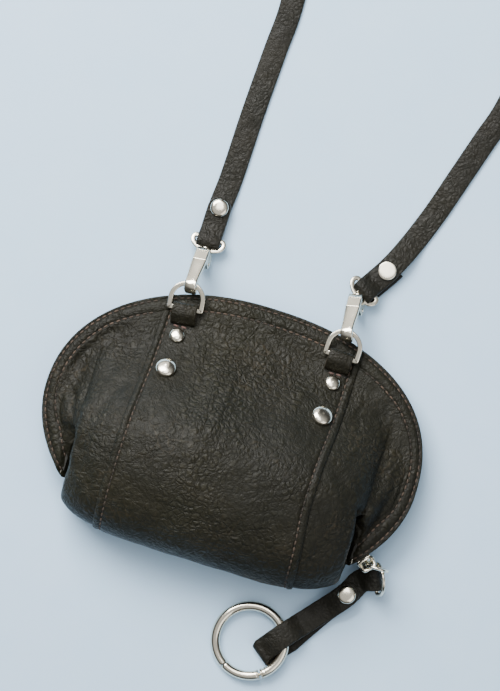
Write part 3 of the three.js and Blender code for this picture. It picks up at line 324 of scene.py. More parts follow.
def prism(outline, width):
    """A flat plate in the plane of x and y, with its middle at z = 0."""
    count = len(outline)
    points = [vec(x, y, -width / 2) for x, y in outline] + [vec(x, y, width / 2) for x, y in outline]
    faces = [[i, (i + 1) % count, count + (i + 1) % count, count + i] for i in range(count)]
    faces.append(list(reversed(range(count))))
    faces.append([count + i for i in range(count)])
    return np.array(points), faces


# Materials


class Nodes:
    """Makes a material's nodes and links them in one call each."""

    def __init__(self, name):
        self.material = bpy.data.materials.new(name)
        self.material.use_nodes = True
        self.tree = self.material.node_tree
        self.shader = self.tree.nodes["Principled BSDF"]
        self.place = self.tree.nodes.new("ShaderNodeTexCoord").outputs["Object"]

    def put(self, target, value):
        if isinstance(value, bpy.types.NodeSocket):
            self.tree.links.new(value, target)
        else:
            target.default_value = value

    def add(self, kind, inputs=(), **settings):
        node = self.tree.nodes.new("ShaderNode" + kind)
        for key, value in settings.items():
            setattr(node, key, value)
        for key, value in dict(inputs).items():
            self.put(node.inputs[key], value)
        return node

    def noise(self, scale, detail=2.0, roughness=0.5, distortion=0.0, place=None):
        inputs = {
            "Vector": place or self.place,
            "Scale": scale,
            "Detail": detail,
            "Roughness": roughness,
            "Distortion": distortion,
        }
        return self.add("TexNoise", inputs).outputs["Fac"]

    def math(self, operation, a, b=0.0, clamp=False):
        node = self.add("Math", operation=operation, use_clamp=clamp)
        self.put(node.inputs[0], a)
        self.put(node.inputs[1], b)
        return node.outputs[0]

    def between(self, value, low, high, to_low=0.0, to_high=1.0):
        inputs = {0: value, 1: low, 2: high, 3: to_low, 4: to_high}
        return self.add("MapRange", inputs, clamp=True).outputs[0]

    def cells(self, place, scale, *reach):
        """The distance from the edges of cells, mapped by between."""
        inputs = {"Vector": place, "Scale": scale, "Randomness": 1.0}
        node = self.add("TexVoronoi", inputs, feature="DISTANCE_TO_EDGE")
        return self.between(node.outputs["Distance"], *reach)

    def plus(self, total, value, amount):
        return self.math("ADD", total, self.math("MULTIPLY", value, amount))

    def mix(self, factor, a, b):
        node = self.add("Mix", data_type="RGBA")
        self.put(node.inputs["Factor"], factor)
        self.put(node.inputs[6], a)
        self.put(node.inputs[7], b)
        return node.outputs[2]

    def bump(self, height, strength, distance, normal=None):
        inputs = {"Height": height, "Strength": strength, "Distance": distance}
        node = self.add("Bump", inputs)
        if normal is not None:
            self.put(node.inputs["Normal"], normal)
        return node.outputs["Normal"]

    def set(self, **values):
        for key, value in values.items():
            self.put(self.shader.inputs[key.replace("_", " ")], value)
        return self.material


def colour(red, green, blue):
    """A colour given as it is seen, from 0 to 255."""

    def linear(c):
        c /= 255
        return c / 12.92 if c <= 0.04045 else ((c + 0.055) / 1.055) ** 2.4

    return (linear(red), linear(green), linear(blue), 1)


WANDER = 2.2  # how far the cells are pushed about, as a share of their size
FINE_CELLS = 2.3  # small cells for each large one
VEIN_CELLS = 7.5  # size of the cells whose edges are the pale creases
LEATHER_GLOSS = 0.17  # the specular level, low for a matt leather


def leather_material(name, dark, main, warm, pebble, grain, roughness, veins=0.0):
    """Pebbled leather. pebble is the size of its cells and grain their height, in millimetres."""
    nodes = Nodes(name)
    wander = nodes.add("TexNoise", {"Vector": nodes.place, "Scale": 160, "Detail": 3})
    middle = (0.5, 0.5, 0.5)
    shift = nodes.add("VectorMath", {0: wander.outputs["Color"], 1: middle}, operation="SUBTRACT")
    scaled = nodes.add("VectorMath", {0: shift.outputs[0]}, operation="SCALE")
    scaled.inputs["Scale"].default_value = WANDER * pebble * MM
    place = nodes.add("VectorMath", {0: nodes.place, 1: scaled.outputs[0]}, operation="ADD").outputs[0]
    valleys = nodes.cells(place, 1 / (pebble * MM), 0.0, 0.36)
    fine_valleys = nodes.cells(place, FINE_CELLS / (pebble * MM), 0.0, 0.4)
    pores = nodes.noise(2600, 3)
    folds = nodes.noise(95, 5, 0.62, 0.8)
    # Some stretches are smooth and others are drawn up into bolder pebbles.
    bold = nodes.between(nodes.noise(26, 2, 0.5, 0.3), 0.4, 0.66, 0.3, 1.0)
    # The pebbles are boldest in a streak that runs down just left of the middle.
    spread = nodes.add("SeparateXYZ", {0: nodes.place})
    streak = nodes.math("ABSOLUTE", nodes.math("ADD", spread.outputs["X"], 9 * MM))
    streak = nodes.between(streak, 3 * MM, 19 * MM, 0.7, 0.0)
    bold = nodes.math("ADD", bold, streak)
    # Fine creases run along the top edge and round the base.
    drawn = nodes.add("Mapping", {"Vector": place, "Scale": (0.3, 1.7, 1.7)}).outputs[0]
    lines = nodes.noise(330, 4, 0.6, 0.5, drawn)
    reach = nodes.math("ABSOLUTE", nodes.math("SUBTRACT", spread.outputs["Y"], 4 * MM))
    drawn_share = nodes.between(reach, 26 * MM, 44 * MM, 0.08, 0.9)
    height = nodes.math("MULTIPLY", valleys, bold)
    height = nodes.plus(height, fine_valleys, 0.24)
    height = nodes.plus(height, pores, 0.05)
    height = nodes.plus(height, lines, drawn_share)
    waves = nodes.bump(folds, 0.75, 1.6 * MM)
    normal = nodes.bump(height, 0.95, grain * MM, waves)
    tone = nodes.mix(nodes.between(nodes.noise(48, 4, 0.65, 0.4), 0.35, 0.68), main, warm)
    tone = nodes.mix(nodes.between(nodes.noise(14, 3), 0.42, 0.7, 0.0, 0.6), tone, dark)
    speckle = nodes.between(nodes.noise(520, 4, 0.7), 0.45, 0.75, 0.0, 0.35)
    tone = nodes.mix(speckle, tone, warm)
    # Painted shade: the grain's valleys are darkened in colour by how low they lie, and made a little
    # rougher.
    shaded_valleys = nodes.math("SUBTRACT", 1.0, height, clamp=True)
    tone = nodes.mix(nodes.math("MULTIPLY", shaded_valleys, 0.75), tone, dark)
    if veins:
        # Pale creases where the leather has been bent.
        line = nodes.cells(place, 1 / (VEIN_CELLS * MM), 0.0, 0.035, veins, 0.0)
        patch = nodes.between(nodes.noise(34, 3, 0.6, 0.2), 0.5, 0.66)
        tone = nodes.mix(nodes.math("MULTIPLY", line, patch), tone, colour(80, 68, 50))
    shine = nodes.between(nodes.noise(300, 3), 0.3, 0.7, roughness - 0.05, roughness + 0.09)
    shine = nodes.plus(shine, shaded_valleys, 0.1)
    return nodes.set(Base_Color=tone, Roughness=shine, Normal=normal, Specular_IOR_Level=LEATHER_GLOSS)


def edge_material():
    nodes = Nodes("edge_paint")
    tone = nodes.mix(nodes.noise(400, 3), colour(44, 39, 32), colour(74, 64, 50))
    normal = nodes.bump(nodes.noise(900, 3), 0.3, 0.15 * MM)
    return nodes.set(Base_Color=tone, Roughness=0.5, Normal=normal)


def metal_material(name, tone, roughness, scratch):
    """Plated metal with faint hairlines and handling marks."""
    nodes = Nodes(name)
    stretched = nodes.add("Mapping", {"Vector": nodes.place, "Scale": (1, 1, 9)}).outputs[0]
    lines = nodes.noise(900, 4, 0.7, 0.1, stretched)
    marks = nodes.noise(140, 4, 0.6)
    shine = nodes.between(marks, 0.35, 0.75, roughness, roughness + 0.11)
    shade = tuple(0.82 * c for c in tone[:3]) + (1,)
    hue = nodes.mix(nodes.between(nodes.noise(60, 3), 0.35, 0.8, 0.0, 0.7), tone, shade)
    normal = nodes.bump(lines, scratch, 0.03 * MM)
    return nodes.set(Base_Color=hue, Metallic=1.0, Roughness=shine, Normal=normal)


def tape_material():
    nodes = Nodes("zip_tape")
    wave = {"Vector": nodes.place, "Scale": 900, "Distortion": 0.6}
    along = nodes.add("TexWave", wave, bands_direction="X").outputs["Fac"]
    across = nodes.add("TexWave", wave, bands_direction="Y").outputs["Fac"]
    weave = nodes.math("MAXIMUM", along, across)
    tone = nodes.mix(weave, colour(20, 20, 19), colour(46, 46, 43))
    normal = nodes.bump(weave, 0.6, 0.2 * MM)
    return nodes.set(Base_Color=tone, Roughness=0.9, Normal=normal)


def thread_material(name, low, high):
    nodes = Nodes(name)
    twist = {"Vector": nodes.place, "Scale": 1100, "Distortion": 1.2}
    strands = nodes.add("TexWave", twist, bands_direction="DIAGONAL").outputs["Fac"]
    patches = nodes.between(nodes.noise(60, 3), 0.35, 0.65)
    tone = nodes.mix(patches, low, high)
    tone = nodes.mix(nodes.math("MULTIPLY", strands, 0.35), tone, low)
    normal = nodes.bump(strands, 0.5, 0.12 * MM)
    return nodes.set(Base_Color=tone, Roughness=0.75, Normal=normal)


LEATHER_LOOK = leather_material(
    "pebbled_leather", colour(12, 12, 8), colour(30, 30, 21), colour(37, 35, 25), 2.7, 0.3, 0.42, 0.2
)
TAB_LOOK = leather_material(
    "tab_leather", colour(13, 12, 8), colour(31, 30, 22), colour(39, 36, 25), 2.0, 0.22, 0.38
)
STRAP_LOOK = leather_material(
    "strap_leather", colour(14, 14, 11), colour(30, 30, 25), colour(36, 34, 28), 2.2, 0.26, 0.42
)
NICKEL = metal_material("nickel", (0.74, 0.70, 0.59, 1), 0.13, 0.06)
TEETH = metal_material("zip_teeth", (0.62, 0.60, 0.53, 1), 0.2, 0.1)
TAPE_LOOK = tape_material()
THREAD = thread_material("thread", colour(36, 30, 24), colour(88, 72, 60))
TAB_THREAD = thread_material("tab_thread", colour(50, 36, 32), colour(104, 80, 74))
# Dark lenses of painted shade, standing in for the shade inside the needle holes.
HOLE_SHADE = thread_material("needle_hole_shade", colour(12, 11, 9), colour(20, 18, 15))
EDGE = edge_material()

# Shape of the bag


def outline(angle):
    """Points of the outline, from angles in degrees."""
    c, s = np.cos(rad(angle)), np.sin(rad(angle))
    power = 2 / np.where(c < 0, LEFT_ROUNDNESS, RIGHT_ROUNDNESS)
    x = np.where(s < 0, HALF_LENGTH * c, HALF_LENGTH * np.sign(c) * np.abs(c) ** power)
    y = np.where(s < 0, TOP_REACH * LOWER_SHARE * s, TOP_REACH * np.abs(s) ** power)
    return x, y


def outline_top(x):
    roundness = np.where(x < 0, LEFT_ROUNDNESS, RIGHT_ROUNDNESS)
    return TOP_REACH * (1 - np.abs(x / HALF_LENGTH) ** roundness) ** (1 / roundness)


def zip_height(y):
    low_end = -math.sqrt(1 - (PLEAT_X / HALF_LENGTH) ** 2) * TOP_REACH
    k = np.clip((TOP_REACH - y) / (TOP_REACH - low_end), 0, 1)
    return share(ZIP_LOW, ZIP_HIGH, k**1.3)


def base_share(x):
    return np.sqrt(np.maximum(0, 1 - np.abs(x / (PLEAT_X * BASE_END)) ** 5))


def base_y(x):
    return share(-0.68 * BOTTOM_REACH, -BOTTOM_REACH, base_share(x))


def waist(x):
    return share(WAIST * 0.83, WAIST, base_share(x))


def crest(x):
    return share(PLEAT_HEIGHT, BULGE, np.sqrt(np.maximum(0, 1 - np.abs(x / PLEAT_X) ** 2.45)))


# Soft dents and ridges of the front: x, y, length, width, degrees turned and depth. All but the
# turn and the depth are shares of the half length, and a ridge has a negative depth.
DENTS = [
    (-0.86, 0.02, 0.22, 0.05, 84, 1.6),
    (0.8, 0.03, 0.2, 0.05, 97, 1.4),
    (-0.12, 0.12, 0.34, 0.06, 88, -0.9),
    (0.16, 0.2, 0.3, 0.09, 80, 0.9),
    (-0.3, 0.3, 0.2, 0.08, 70, 0.7),
    (0.66, 0.3, 0.2, 0.07, 30, 0.8),
    (-0.68, 0.34, 0.2, 0.07, 150, 0.8),
]


def ridge_sum(rows, x, y):
    """How far rows of dents and ridges lift the leather at x and y."""
    total = np.zeros(np.broadcast(x, y).shape)
    for at_x, at_y, long, wide, turn, depth in rows:
        dx, dy = x / HALF_LENGTH - at_x, y / HALF_LENGTH - at_y
        c, s = cos_sin(turn)
        along = (dx * c + dy * s) / long
        across = (dy * c - dx * s) / wide
        total -= depth * np.exp(-(along**2) - across**2)
    return total


def front_height(distance, reach, zip_line, top):
    edge = zip_line + SLOT / 2 + LEATHER
    k = np.clip((distance - FLANGE) / (reach - FLANGE), 0, 1)
    body = share(edge + FLANGE_RISE, top, (1 - np.cos(np.pi * k)) / 2)
    return np.where(distance <= FLANGE, edge + FLANGE_RISE * distance / FLANGE, body)


def back_height(distance, zip_line, reach):
    k = np.maximum(0, 1 - distance / np.minimum(BACK_RISE_WIDTH, 0.9 * reach))
    return (zip_line - SLOT / 2 - LEATHER) * k**2


def ray_point(part, t, foot, rim, top):
    """A point between the edge and the crest or the back: t is 0 at the edge and 1 at the foot."""
    reach = np.hypot(rim[0] - foot[0], rim[1] - foot[1])
    flange = FLANGE / reach
    k = np.where(t < 1, t * flange, share(flange, 1, np.clip(t - 1, 0, 1)))
    x, y = share(rim[0], foot[0], k), share(rim[1], foot[1], k)
    zip_line = zip_height(rim[1])
    distance = k * reach
    if part == "front":
        fade = np.sin(np.pi / 2 * np.clip((distance - FLANGE) / FLANGE, 0, 1))
        return x, y, front_height(distance, reach, zip_line, top) + fade * ridge_sum(DENTS, x, y)
    return x, y, back_height(distance, zip_line, reach)


def base_point(part, t, x):
    """A point of the base: t runs from the crest to the waist, or from the waist to the back."""
    low = base_y(x)
    back_start = share(PLEAT_Y, low, 0.45)
    angle = np.pi / 2 * t
    if part == "base_front":
        y = share(PLEAT_Y, low, np.sin(angle) ** (2 / 2.35))
        top = crest(x) + ridge_sum(DENTS, x, PLEAT_Y)
        return x, y, share(waist(x), top, np.maximum(0, np.cos(angle)) ** (2 / 2.35))
    if part == "base_back":
        y = share(back_start, low, np.maximum(0, np.cos(angle)) ** (2 / 3.6))
        return x, y, share(waist(x), 0, np.sin(angle) ** (2 / 3.6))
    return x, share(back_start, PLEAT_Y, t), 0 * x


# Rows of the skin, in order from the front edge round the base to the back edge: how each
# part is divided. A value from 0 to 1 lies in the flat edge and one from 1 to 2 beyond it.
FLANGE_ROWS = np.linspace(0.08, 1, 20)
FRONT_ROWS = np.linspace(1, 2, 44)[1:]
RAY_ROWS = np.concatenate([FLANGE_ROWS, FRONT_ROWS])
BASE_ROWS = np.linspace(0, 1, 22)[1:]
FLAT_ROWS = np.linspace(0, 1, 9)[1:]
BACK_ROWS = RAY_ROWS[::-1][1:]
SKIN_ROWS = (
    [("front", t) for t in RAY_ROWS]
    + [("base_front", t) for t in BASE_ROWS]
    + [("base_back", t) for t in BASE_ROWS]
    + [("flat", t) for t in FLAT_ROWS]
    + [("back", t) for t in BACK_ROWS]
)


def skin_row(part, t, x):
    """The points of one row of the body at the places x."""
    if part in ("front", "back"):
        top = crest(x)
        foot = (x, np.full_like(x, PLEAT_Y))
        return stacked(ray_point(part, t, foot, (x, outline_top(x)), top))
    return stacked(base_point(part, t, x))


# The folded edges of the centre panel: y as a share of the top reach, and the left and the right
# edge as shares of the seam's place.
SEAMS = [
    (-1.2, 1.02, 1.02),
    (-0.67, 1.045, 1.0),
    (-0.33, 1.045, 0.955),
    (0, 1.034, 0.96),
    (0.33, 1.01, 0.995),
    (1.2, 0.99, 1.0),
]


def seam_x(y, side):
    heights = [row[0] * TOP_REACH for row in SEAMS]
    shares = [row[1 if side < 0 else 2] for row in SEAMS]
    spread = np.linspace(-6, 6, 7)
    return side * SEAM_X * np.mean([np.interp(y + d, heights, shares) for d in spread], 0)


def body_grid(column_x):
    """A grid of the skin: column_x gives each row's places across, from the row's heights y."""
    rows = []
    for part, t in SKIN_ROWS:
        y = np.zeros(1)
        for _ in range(4):
            x = column_x(y)
            row = skin_row(part, t, x)
            y = row[:, 1]
        rows.append(row)
    return np.array(rows)


def grid_normals(grid):
    """Outward normals of a grid whose rows run from the front edge to the back."""
    down = np.gradient(grid, axis=0)
    across = np.gradient(grid, axis=1)
    normals = np.cross(down, across)
    length = np.linalg.norm(normals, axis=-1, keepdims=True)
    return normals / np.maximum(length, 1e-9)


# Creases of the front: start, end, width and depth in millimetres. A ridge has a negative depth.
CREASES = [
    ((-71.5, -2), (-67.6, -19), 1.7, 1.3),
    ((-64.5, -6), (-64, -27), 2.6, -0.9),
    ((-67.2, -16.5), (-66.4, -21), 1.1, 2.2),
    ((-74.5, -4), (-71, -24), 2.2, -0.8),
    ((-60, -8), (-50, 12), 2.4, 0.5),
    ((-62, -22), (-54, -32), 1.8, 0.5),
    ((-60, -30), (-49, -40), 1.5, 0.45),
    ((-76, 12), (-64, 31), 2.2, 0.5),
    ((-68, 12), (-55, 30), 3.0, -0.4),
    ((64.6, -13.6), (66.2, -21), 1.15, 3.6),
    ((62, -16), (63.4, -30), 1.6, -0.7),
    ((69.5, -12), (69, -24), 1.8, -0.9),
    ((73.5, -8), (73, -20), 1.4, 0.7),
    ((76.5, 6), (77, -14), 1.2, -0.4),
    ((58, -10), (48, 2), 2.6, 0.35),
    ((56, -30), (49, -40), 2.0, 0.3),
    ((-20, 34), (-19, 12), 1.5, 0.35),
    ((-13, 30), (-15, 2), 1.7, -0.4),
    ((-9.5, 24), (-12, -6), 1.2, 0.35),
    ((-5, 28), (-8, 0), 1.7, -0.4),
    ((-40, 2), (-27, 8), 1.6, 0.3),
    ((-42, -6), (-30, -4), 1.5, 0.3),
    ((-36, -34), (-10, -38), 2.0, 0.4),
    ((-5, -40), (26, -37), 2.2, 0.4),
    ((14, 48), (-14, 50), 1.5, 0.35),
    ((20, 44), (-4, 46), 1.3, 0.3),
]


def to_segment(x, y, start, end):
    """Distance from points to a segment."""
    dx, dy = end[0] - start[0], end[1] - start[1]
    k = np.clip(((x - start[0]) * dx + (y - start[1]) * dy) / (dx**2 + dy**2), 0, 1)
    return np.hypot(x - start[0] - k * dx, y - start[1] - k * dy)


def crease_height(x, y):
    total = np.zeros(x.shape)
    for start, end, wide, depth in CREASES:
        total -= depth * bell(to_segment(x, y, start, end), wide)
    return total


def crumple(points, size, seed):
    """Smooth noise from -1 to 1 at each point."""
    flat = points.reshape(-1, 3) / size + seed
    values = [noise.noise(Vector(p)) for p in flat]
    return np.array(values).reshape(points.shape[:-1])


def near_fittings(x, y):
    """1 at the studs and tabs, where the leather lies flat, and 0 away from them."""
    near = np.zeros(x.shape)
    for side in (-1, 1):
        distance = to_segment(x, y, (side * FITTING_X, LARGE_STUD_Y), (side * FITTING_X, 52))
        near = np.maximum(near, np.exp(-((distance / 7.5) ** 4)))
    return near


STITCH_ROWS = (1.7, 7.3)  # edge to each row of stitches
SEAM_STITCH = 2.8  # folded edge to its row of stitches
# Depth or height and width of the grooves under the stitches and of the welts next to them
ROW_GROOVE, ROW_WELT = (0.42, 0.6), (0.4, 1.9)
SEAM_GROOVE, SEAM_WELT = (0.45, 0.65), (0.32, 1.0)
SEAM_WELT_AT = 1.2
# Height, size and seed of the leather's soft unevenness
UNEVEN = ((0.5, 17, 0.0), (0.2, 6, 3.1), (0.1, 3, 7.7))


def edge_relief(distance):
    """Grooves of the two rows of stitches and the soft welt between them."""
    groove = sum(-ROW_GROOVE[0] * bell(distance - row, ROW_GROOVE[1]) for row in STITCH_ROWS)
    return groove + ROW_WELT[0] * bell(distance - sum(STITCH_ROWS) / 2, ROW_WELT[1])


def smooth_step(low, high, value):
    k = np.clip((value - low) / (high - low), 0, 1)
    return k * k * (3 - 2 * k)


def relieved(grid, rows, edge_distance, extra=0.0):
    """The grid with its creases, stitch grooves and soft unevenness. rows name its parts."""
    x, y = grid[..., 0], grid[..., 1]
    upper = np.array([part in ("front", "base_front") for part, _ in rows])[:, None]
    quiet = 1 - near_fittings(x, y)
    flat_edge = smooth_step(FLANGE, FLANGE + 4, edge_distance)
    fine = sum(height * crumple(grid, size, seed) for height, size, seed in UNEVEN)
    lift = edge_relief(edge_distance) + extra
    lift = lift + quiet * flat_edge * fine * np.where(upper, 1.0, 0.5)
    lift = lift + np.where(upper, quiet * flat_edge * crease_height(x, y), 0)
    shaped = grid + grid_normals(grid) * lift[..., None]
    shaped[..., 2] = np.maximum(shaped[..., 2], 0.05)
    return shaped


def body_edge_distance(x, rows):
    """Distance from the zip's edge of each point of the body's grid."""
    reach = outline_top(x) - PLEAT_Y
    t = np.array([t if part in ("front", "back") else 2.0 for part, t in rows])[:, None]
    return np.where(t < 1, t * FLANGE, FLANGE + (t - 1) * (reach - FLANGE))


def curl(grid, normals, last, radius, turns, tail=0.0):
    """Rows that roll a border of the grid inwards. last picks the last row and not the first."""
    border, inner = (grid[-1], grid[-3]) if last else (grid[0], grid[2])
    normal = normals[-1] if last else normals[0]
    out = unit(border - inner)
    rows = []
    for turn in turns:
        sine, cosine = math.sin(rad(turn)), math.cos(rad(turn))
        rows.append(border + radius * (sine * out - (1 - cosine) * normal))
    if tail:
        rows.append(rows[-1] - tail * out)
    return np.array(rows if last else rows[::-1])


RIM_TURNS = (25, 50, 75, 100, 130, 160, 180)
RIM_RADIUS = 0.72
RIM_TAIL = 1.6
SEAM_TURNS = (20, 40, 60, 80, 100)
SEAM_RADIUS = 0.85


def with_rims(grid, normals):
    """The grid with its front and back edges rolled in at the zip."""
    front, back = (curl(grid, normals, last, RIM_RADIUS, RIM_TURNS, RIM_TAIL) for last in (False, True))
    return np.concatenate([front, grid, back])


def line_along(grid, normals, rows, part, distance):
    """The points and normals of a line at one distance from the zip's edge."""
    t = distance / FLANGE
    picks = [i for i, (name, _) in enumerate(rows) if name == part]
    values = [rows[i][1] for i in picks]
    order = np.argsort(values)
    sorted_values = np.array(values)[order]
    k = np.searchsorted(sorted_values, t)
    low, high = picks[order[k - 1]], picks[order[k]]
    mix = (t - sorted_values[k - 1]) / (sorted_values[k] - sorted_values[k - 1])
    return share(grid[low], grid[high], mix), unit(share(normals[low], normals[high], mix))


STITCH_JITTER = 0.12
STITCH_SKEW = 0.1
HOLE_WIDTH = 0.42  # half the width of a needle hole
HOLE_LENGTH = 0.5  # half its length
FANS = [[(k + 1) % 6, k, 6] for k in range(6)] + [[k, (k + 1) % 6, 7] for k in range(6)]


def stitch_row(line, normals, pitch=3.0, length=2.2, width=0.78, skip=1.2):
    """Threads that lie along a line, each sunk at its ends, and dark lenses of painted shade at the needle
    holes between them.
    """
    at = distances(line)
    count = int((at[-1] - 2 * skip) / pitch)
    start = (at[-1] - count * pitch) / 2 + pitch / 2
    threads, hole_shades = [], []
    along = tangents(line)
    angles = round_angles(6)
    for i in range(count):
        s = start + i * pitch + random.uniform(-STITCH_JITTER, STITCH_JITTER)
        point, between = row_at(s, at, line), row_at(min(s + pitch / 2, at[-1]), at, line)
        ahead, up = unit(row_at(s, at, along)), unit(row_at(s, at, normals))
        side = unit(np.cross(ahead, up))
        # A needle hole's shade is painted as a dark lens, a little above the groove.
        hole_shade = [
            between + HOLE_WIDTH * side * math.cos(a) + HOLE_LENGTH * ahead * math.sin(a) + 0.06 * up
            for a in angles
        ]
        hole_shade += [between + 0.12 * up, between - 0.3 * up]
        hole_shades.append((np.array(hole_shade), FANS))
        ahead = unit(ahead + side * random.uniform(-STITCH_SKEW, STITCH_SKEW))
        side = unit(np.cross(ahead, up))
        rings = []
        for k in (-1, -0.8, -0.35, 0.35, 0.8, 1):
            swell = math.sqrt(max(0.06, 1 - abs(k) ** 3))
            centre = point + ahead * k * length / 2 + up * (0.2 - 0.34 * k**4)
            ring = [
                centre + swell * width / 2 * (side * math.cos(a) + 0.75 * up * math.sin(a))
                for a in angles
            ]
            rings.append(ring)
        threads.append(loft(rings))
    return threads, hole_shades


def stitch_piece(name, rows, look, place=np.eye(4)):
    """One piece from several rows of stitches, with the painted shade of their needle holes."""
    threads = [part for row in rows for part in row[0]]
    hole_shades = [part for row in rows for part in row[1]]
    piece = make_mesh(name, *moved(joined(threads + hole_shades), place), look, "tape")
    piece.data.materials.append(HOLE_SHADE)
    marks = [0] * sum(len(part[1]) for part in threads) + [1] * sum(len(part[1]) for part in hole_shades)
    piece.data.polygons.foreach_set("material_index", marks)


def dense_places(width, near, step):
    """Shares across a panel, with close places next to its edges."""
    middle = np.linspace(near[-1], width - near[-1], int((width - 2 * near[-1]) / step))[1:-1]
    places = [*near, *middle, *(width - np.array(near))[::-1]]
    return np.array(places) / width


def centre_panel():
    """The middle strip, folded at both seams and stitched next to each fold."""
    near = [0, 0.5, 1.0, 1.5, 2.0, 2.4, 2.8, 3.2, 3.7, 4.4, 5.3]
    shares = dense_places(2 * SEAM_X, near, 1.15)
    grid = body_grid(lambda y: share(seam_x(y, -1), seam_x(y, 1), shares))
    x = grid[..., 0]
    from_edge = np.minimum(x - grid[:, :1, 0], grid[:, -1:, 0] - x)
    groove = -SEAM_GROOVE[0] * bell(from_edge - SEAM_STITCH, SEAM_GROOVE[1])
    welt = SEAM_WELT[0] * bell(from_edge - SEAM_WELT_AT, SEAM_WELT[1])
    distance = body_edge_distance(x, SKIN_ROWS)
    grid = relieved(grid, SKIN_ROWS, distance, LAP + groove + welt)
    normals = grid_normals(grid)
    stitches = []
    for part in ("front", "back"):
        for row in STITCH_ROWS:
            stitches.append(stitch_row(*line_along(grid, normals, SKIN_ROWS, part, row)))
    column = near.index(SEAM_STITCH)
    for k in (column, -1 - column):
        stitches.append(stitch_row(grid[:, k], normals[:, k], skip=8))
    full = with_rims(grid, normals)
    normals = grid_normals(full)
    across, across_normals = full.transpose(1, 0, 2), normals.transpose(1, 0, 2)
    left, right = (curl(across, across_normals, last, SEAM_RADIUS, SEAM_TURNS) for last in (False, True))
    full = np.concatenate([left, across, right]).transpose(1, 0, 2)
    rows, columns = full.shape[:2]
    faces = grid_faces(rows, columns, flip=True)
    panel = make_mesh("centre_leather", full.reshape(-1, 3), faces, LEATHER_LOOK, "leather")
    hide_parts("centre_panel")
    stitch_piece("centre_stitches", stitches, THREAD)


WELD = 0.02  # points as close as this are merged
MARGIN_IN, MARGIN_DOWN, MARGIN_UP = 2.6, 5.0, 1.5  # how far the hidden margin at a pleat reaches
TUCK_DEPTH, TUCK_WIDTH = 2.6, 2.4  # how the wing sinks into the pleat
UNDER_DEPTH, UNDER_WIDTH = 0.3, 1.6  # how the side sinks under the centre panel's edge
UNDERLAP = 4.5
SIDE_COLUMNS = np.concatenate([np.linspace(0, 0.82, 22), np.linspace(0.84, 1, 15)])
PLEAT_ROUND = 3.4
WING_RAYS = 64
WING_ROWS = [("front", t) for t in RAY_ROWS] + [("back", t) for t in BACK_ROWS]


def wing_ends(side):
    """The angles in degrees at which the outline passes a pleat, above it and below it."""
    roundness = RIGHT_ROUNDNESS if side > 0 else LEFT_ROUNDNESS
    high = math.degrees(math.acos((PLEAT_X / HALF_LENGTH) ** (roundness / 2)))
    return high, -math.degrees(math.acos(PLEAT_X / HALF_LENGTH))


def wing_grid(side):
    """The fan outside a pleat, from its top ray to its low one, and its distances from the edge."""
    angles = np.linspace(*wing_ends(side), WING_RAYS)
    angles = angles if side > 0 else 180 - angles
    rim = outline(angles)
    foot = (np.full(WING_RAYS, side * PLEAT_X), np.full(WING_RAYS, float(PLEAT_Y)))
    reach = np.hypot(rim[0] - foot[0], rim[1] - foot[1])
    rows, distances = [], []
    for part, t in WING_ROWS:
        rows.append(stacked(ray_point(part, t, foot, rim, np.full(WING_RAYS, float(PLEAT_HEIGHT)))))
        distances.append(np.where(t < 1, t * FLANGE, FLANGE + (t - 1) * (reach - FLANGE)))
    return np.array(rows), np.array(distances)


def tuck(grid, rows, side):
    """Lowers the wing into the pleat next to its low ray."""
    x, y = grid[..., 0], grid[..., 1]
    beside = np.maximum(0, side * x - PLEAT_X)
    from_foot = np.hypot(x - side * PLEAT_X, y - PLEAT_Y)
    below = smooth_step(0, 2, PLEAT_Y - y + 2 - beside)
    amount = TUCK_DEPTH * bell(beside, TUCK_WIDTH) * smooth_step(0.5, 9, from_foot) * below
    front = np.array([part == "front" for part, _ in rows])[:, None]
    lowered = grid.copy()
    lowered[..., 2] += np.where(front, -amount, 0.4 * amount)
    return lowered


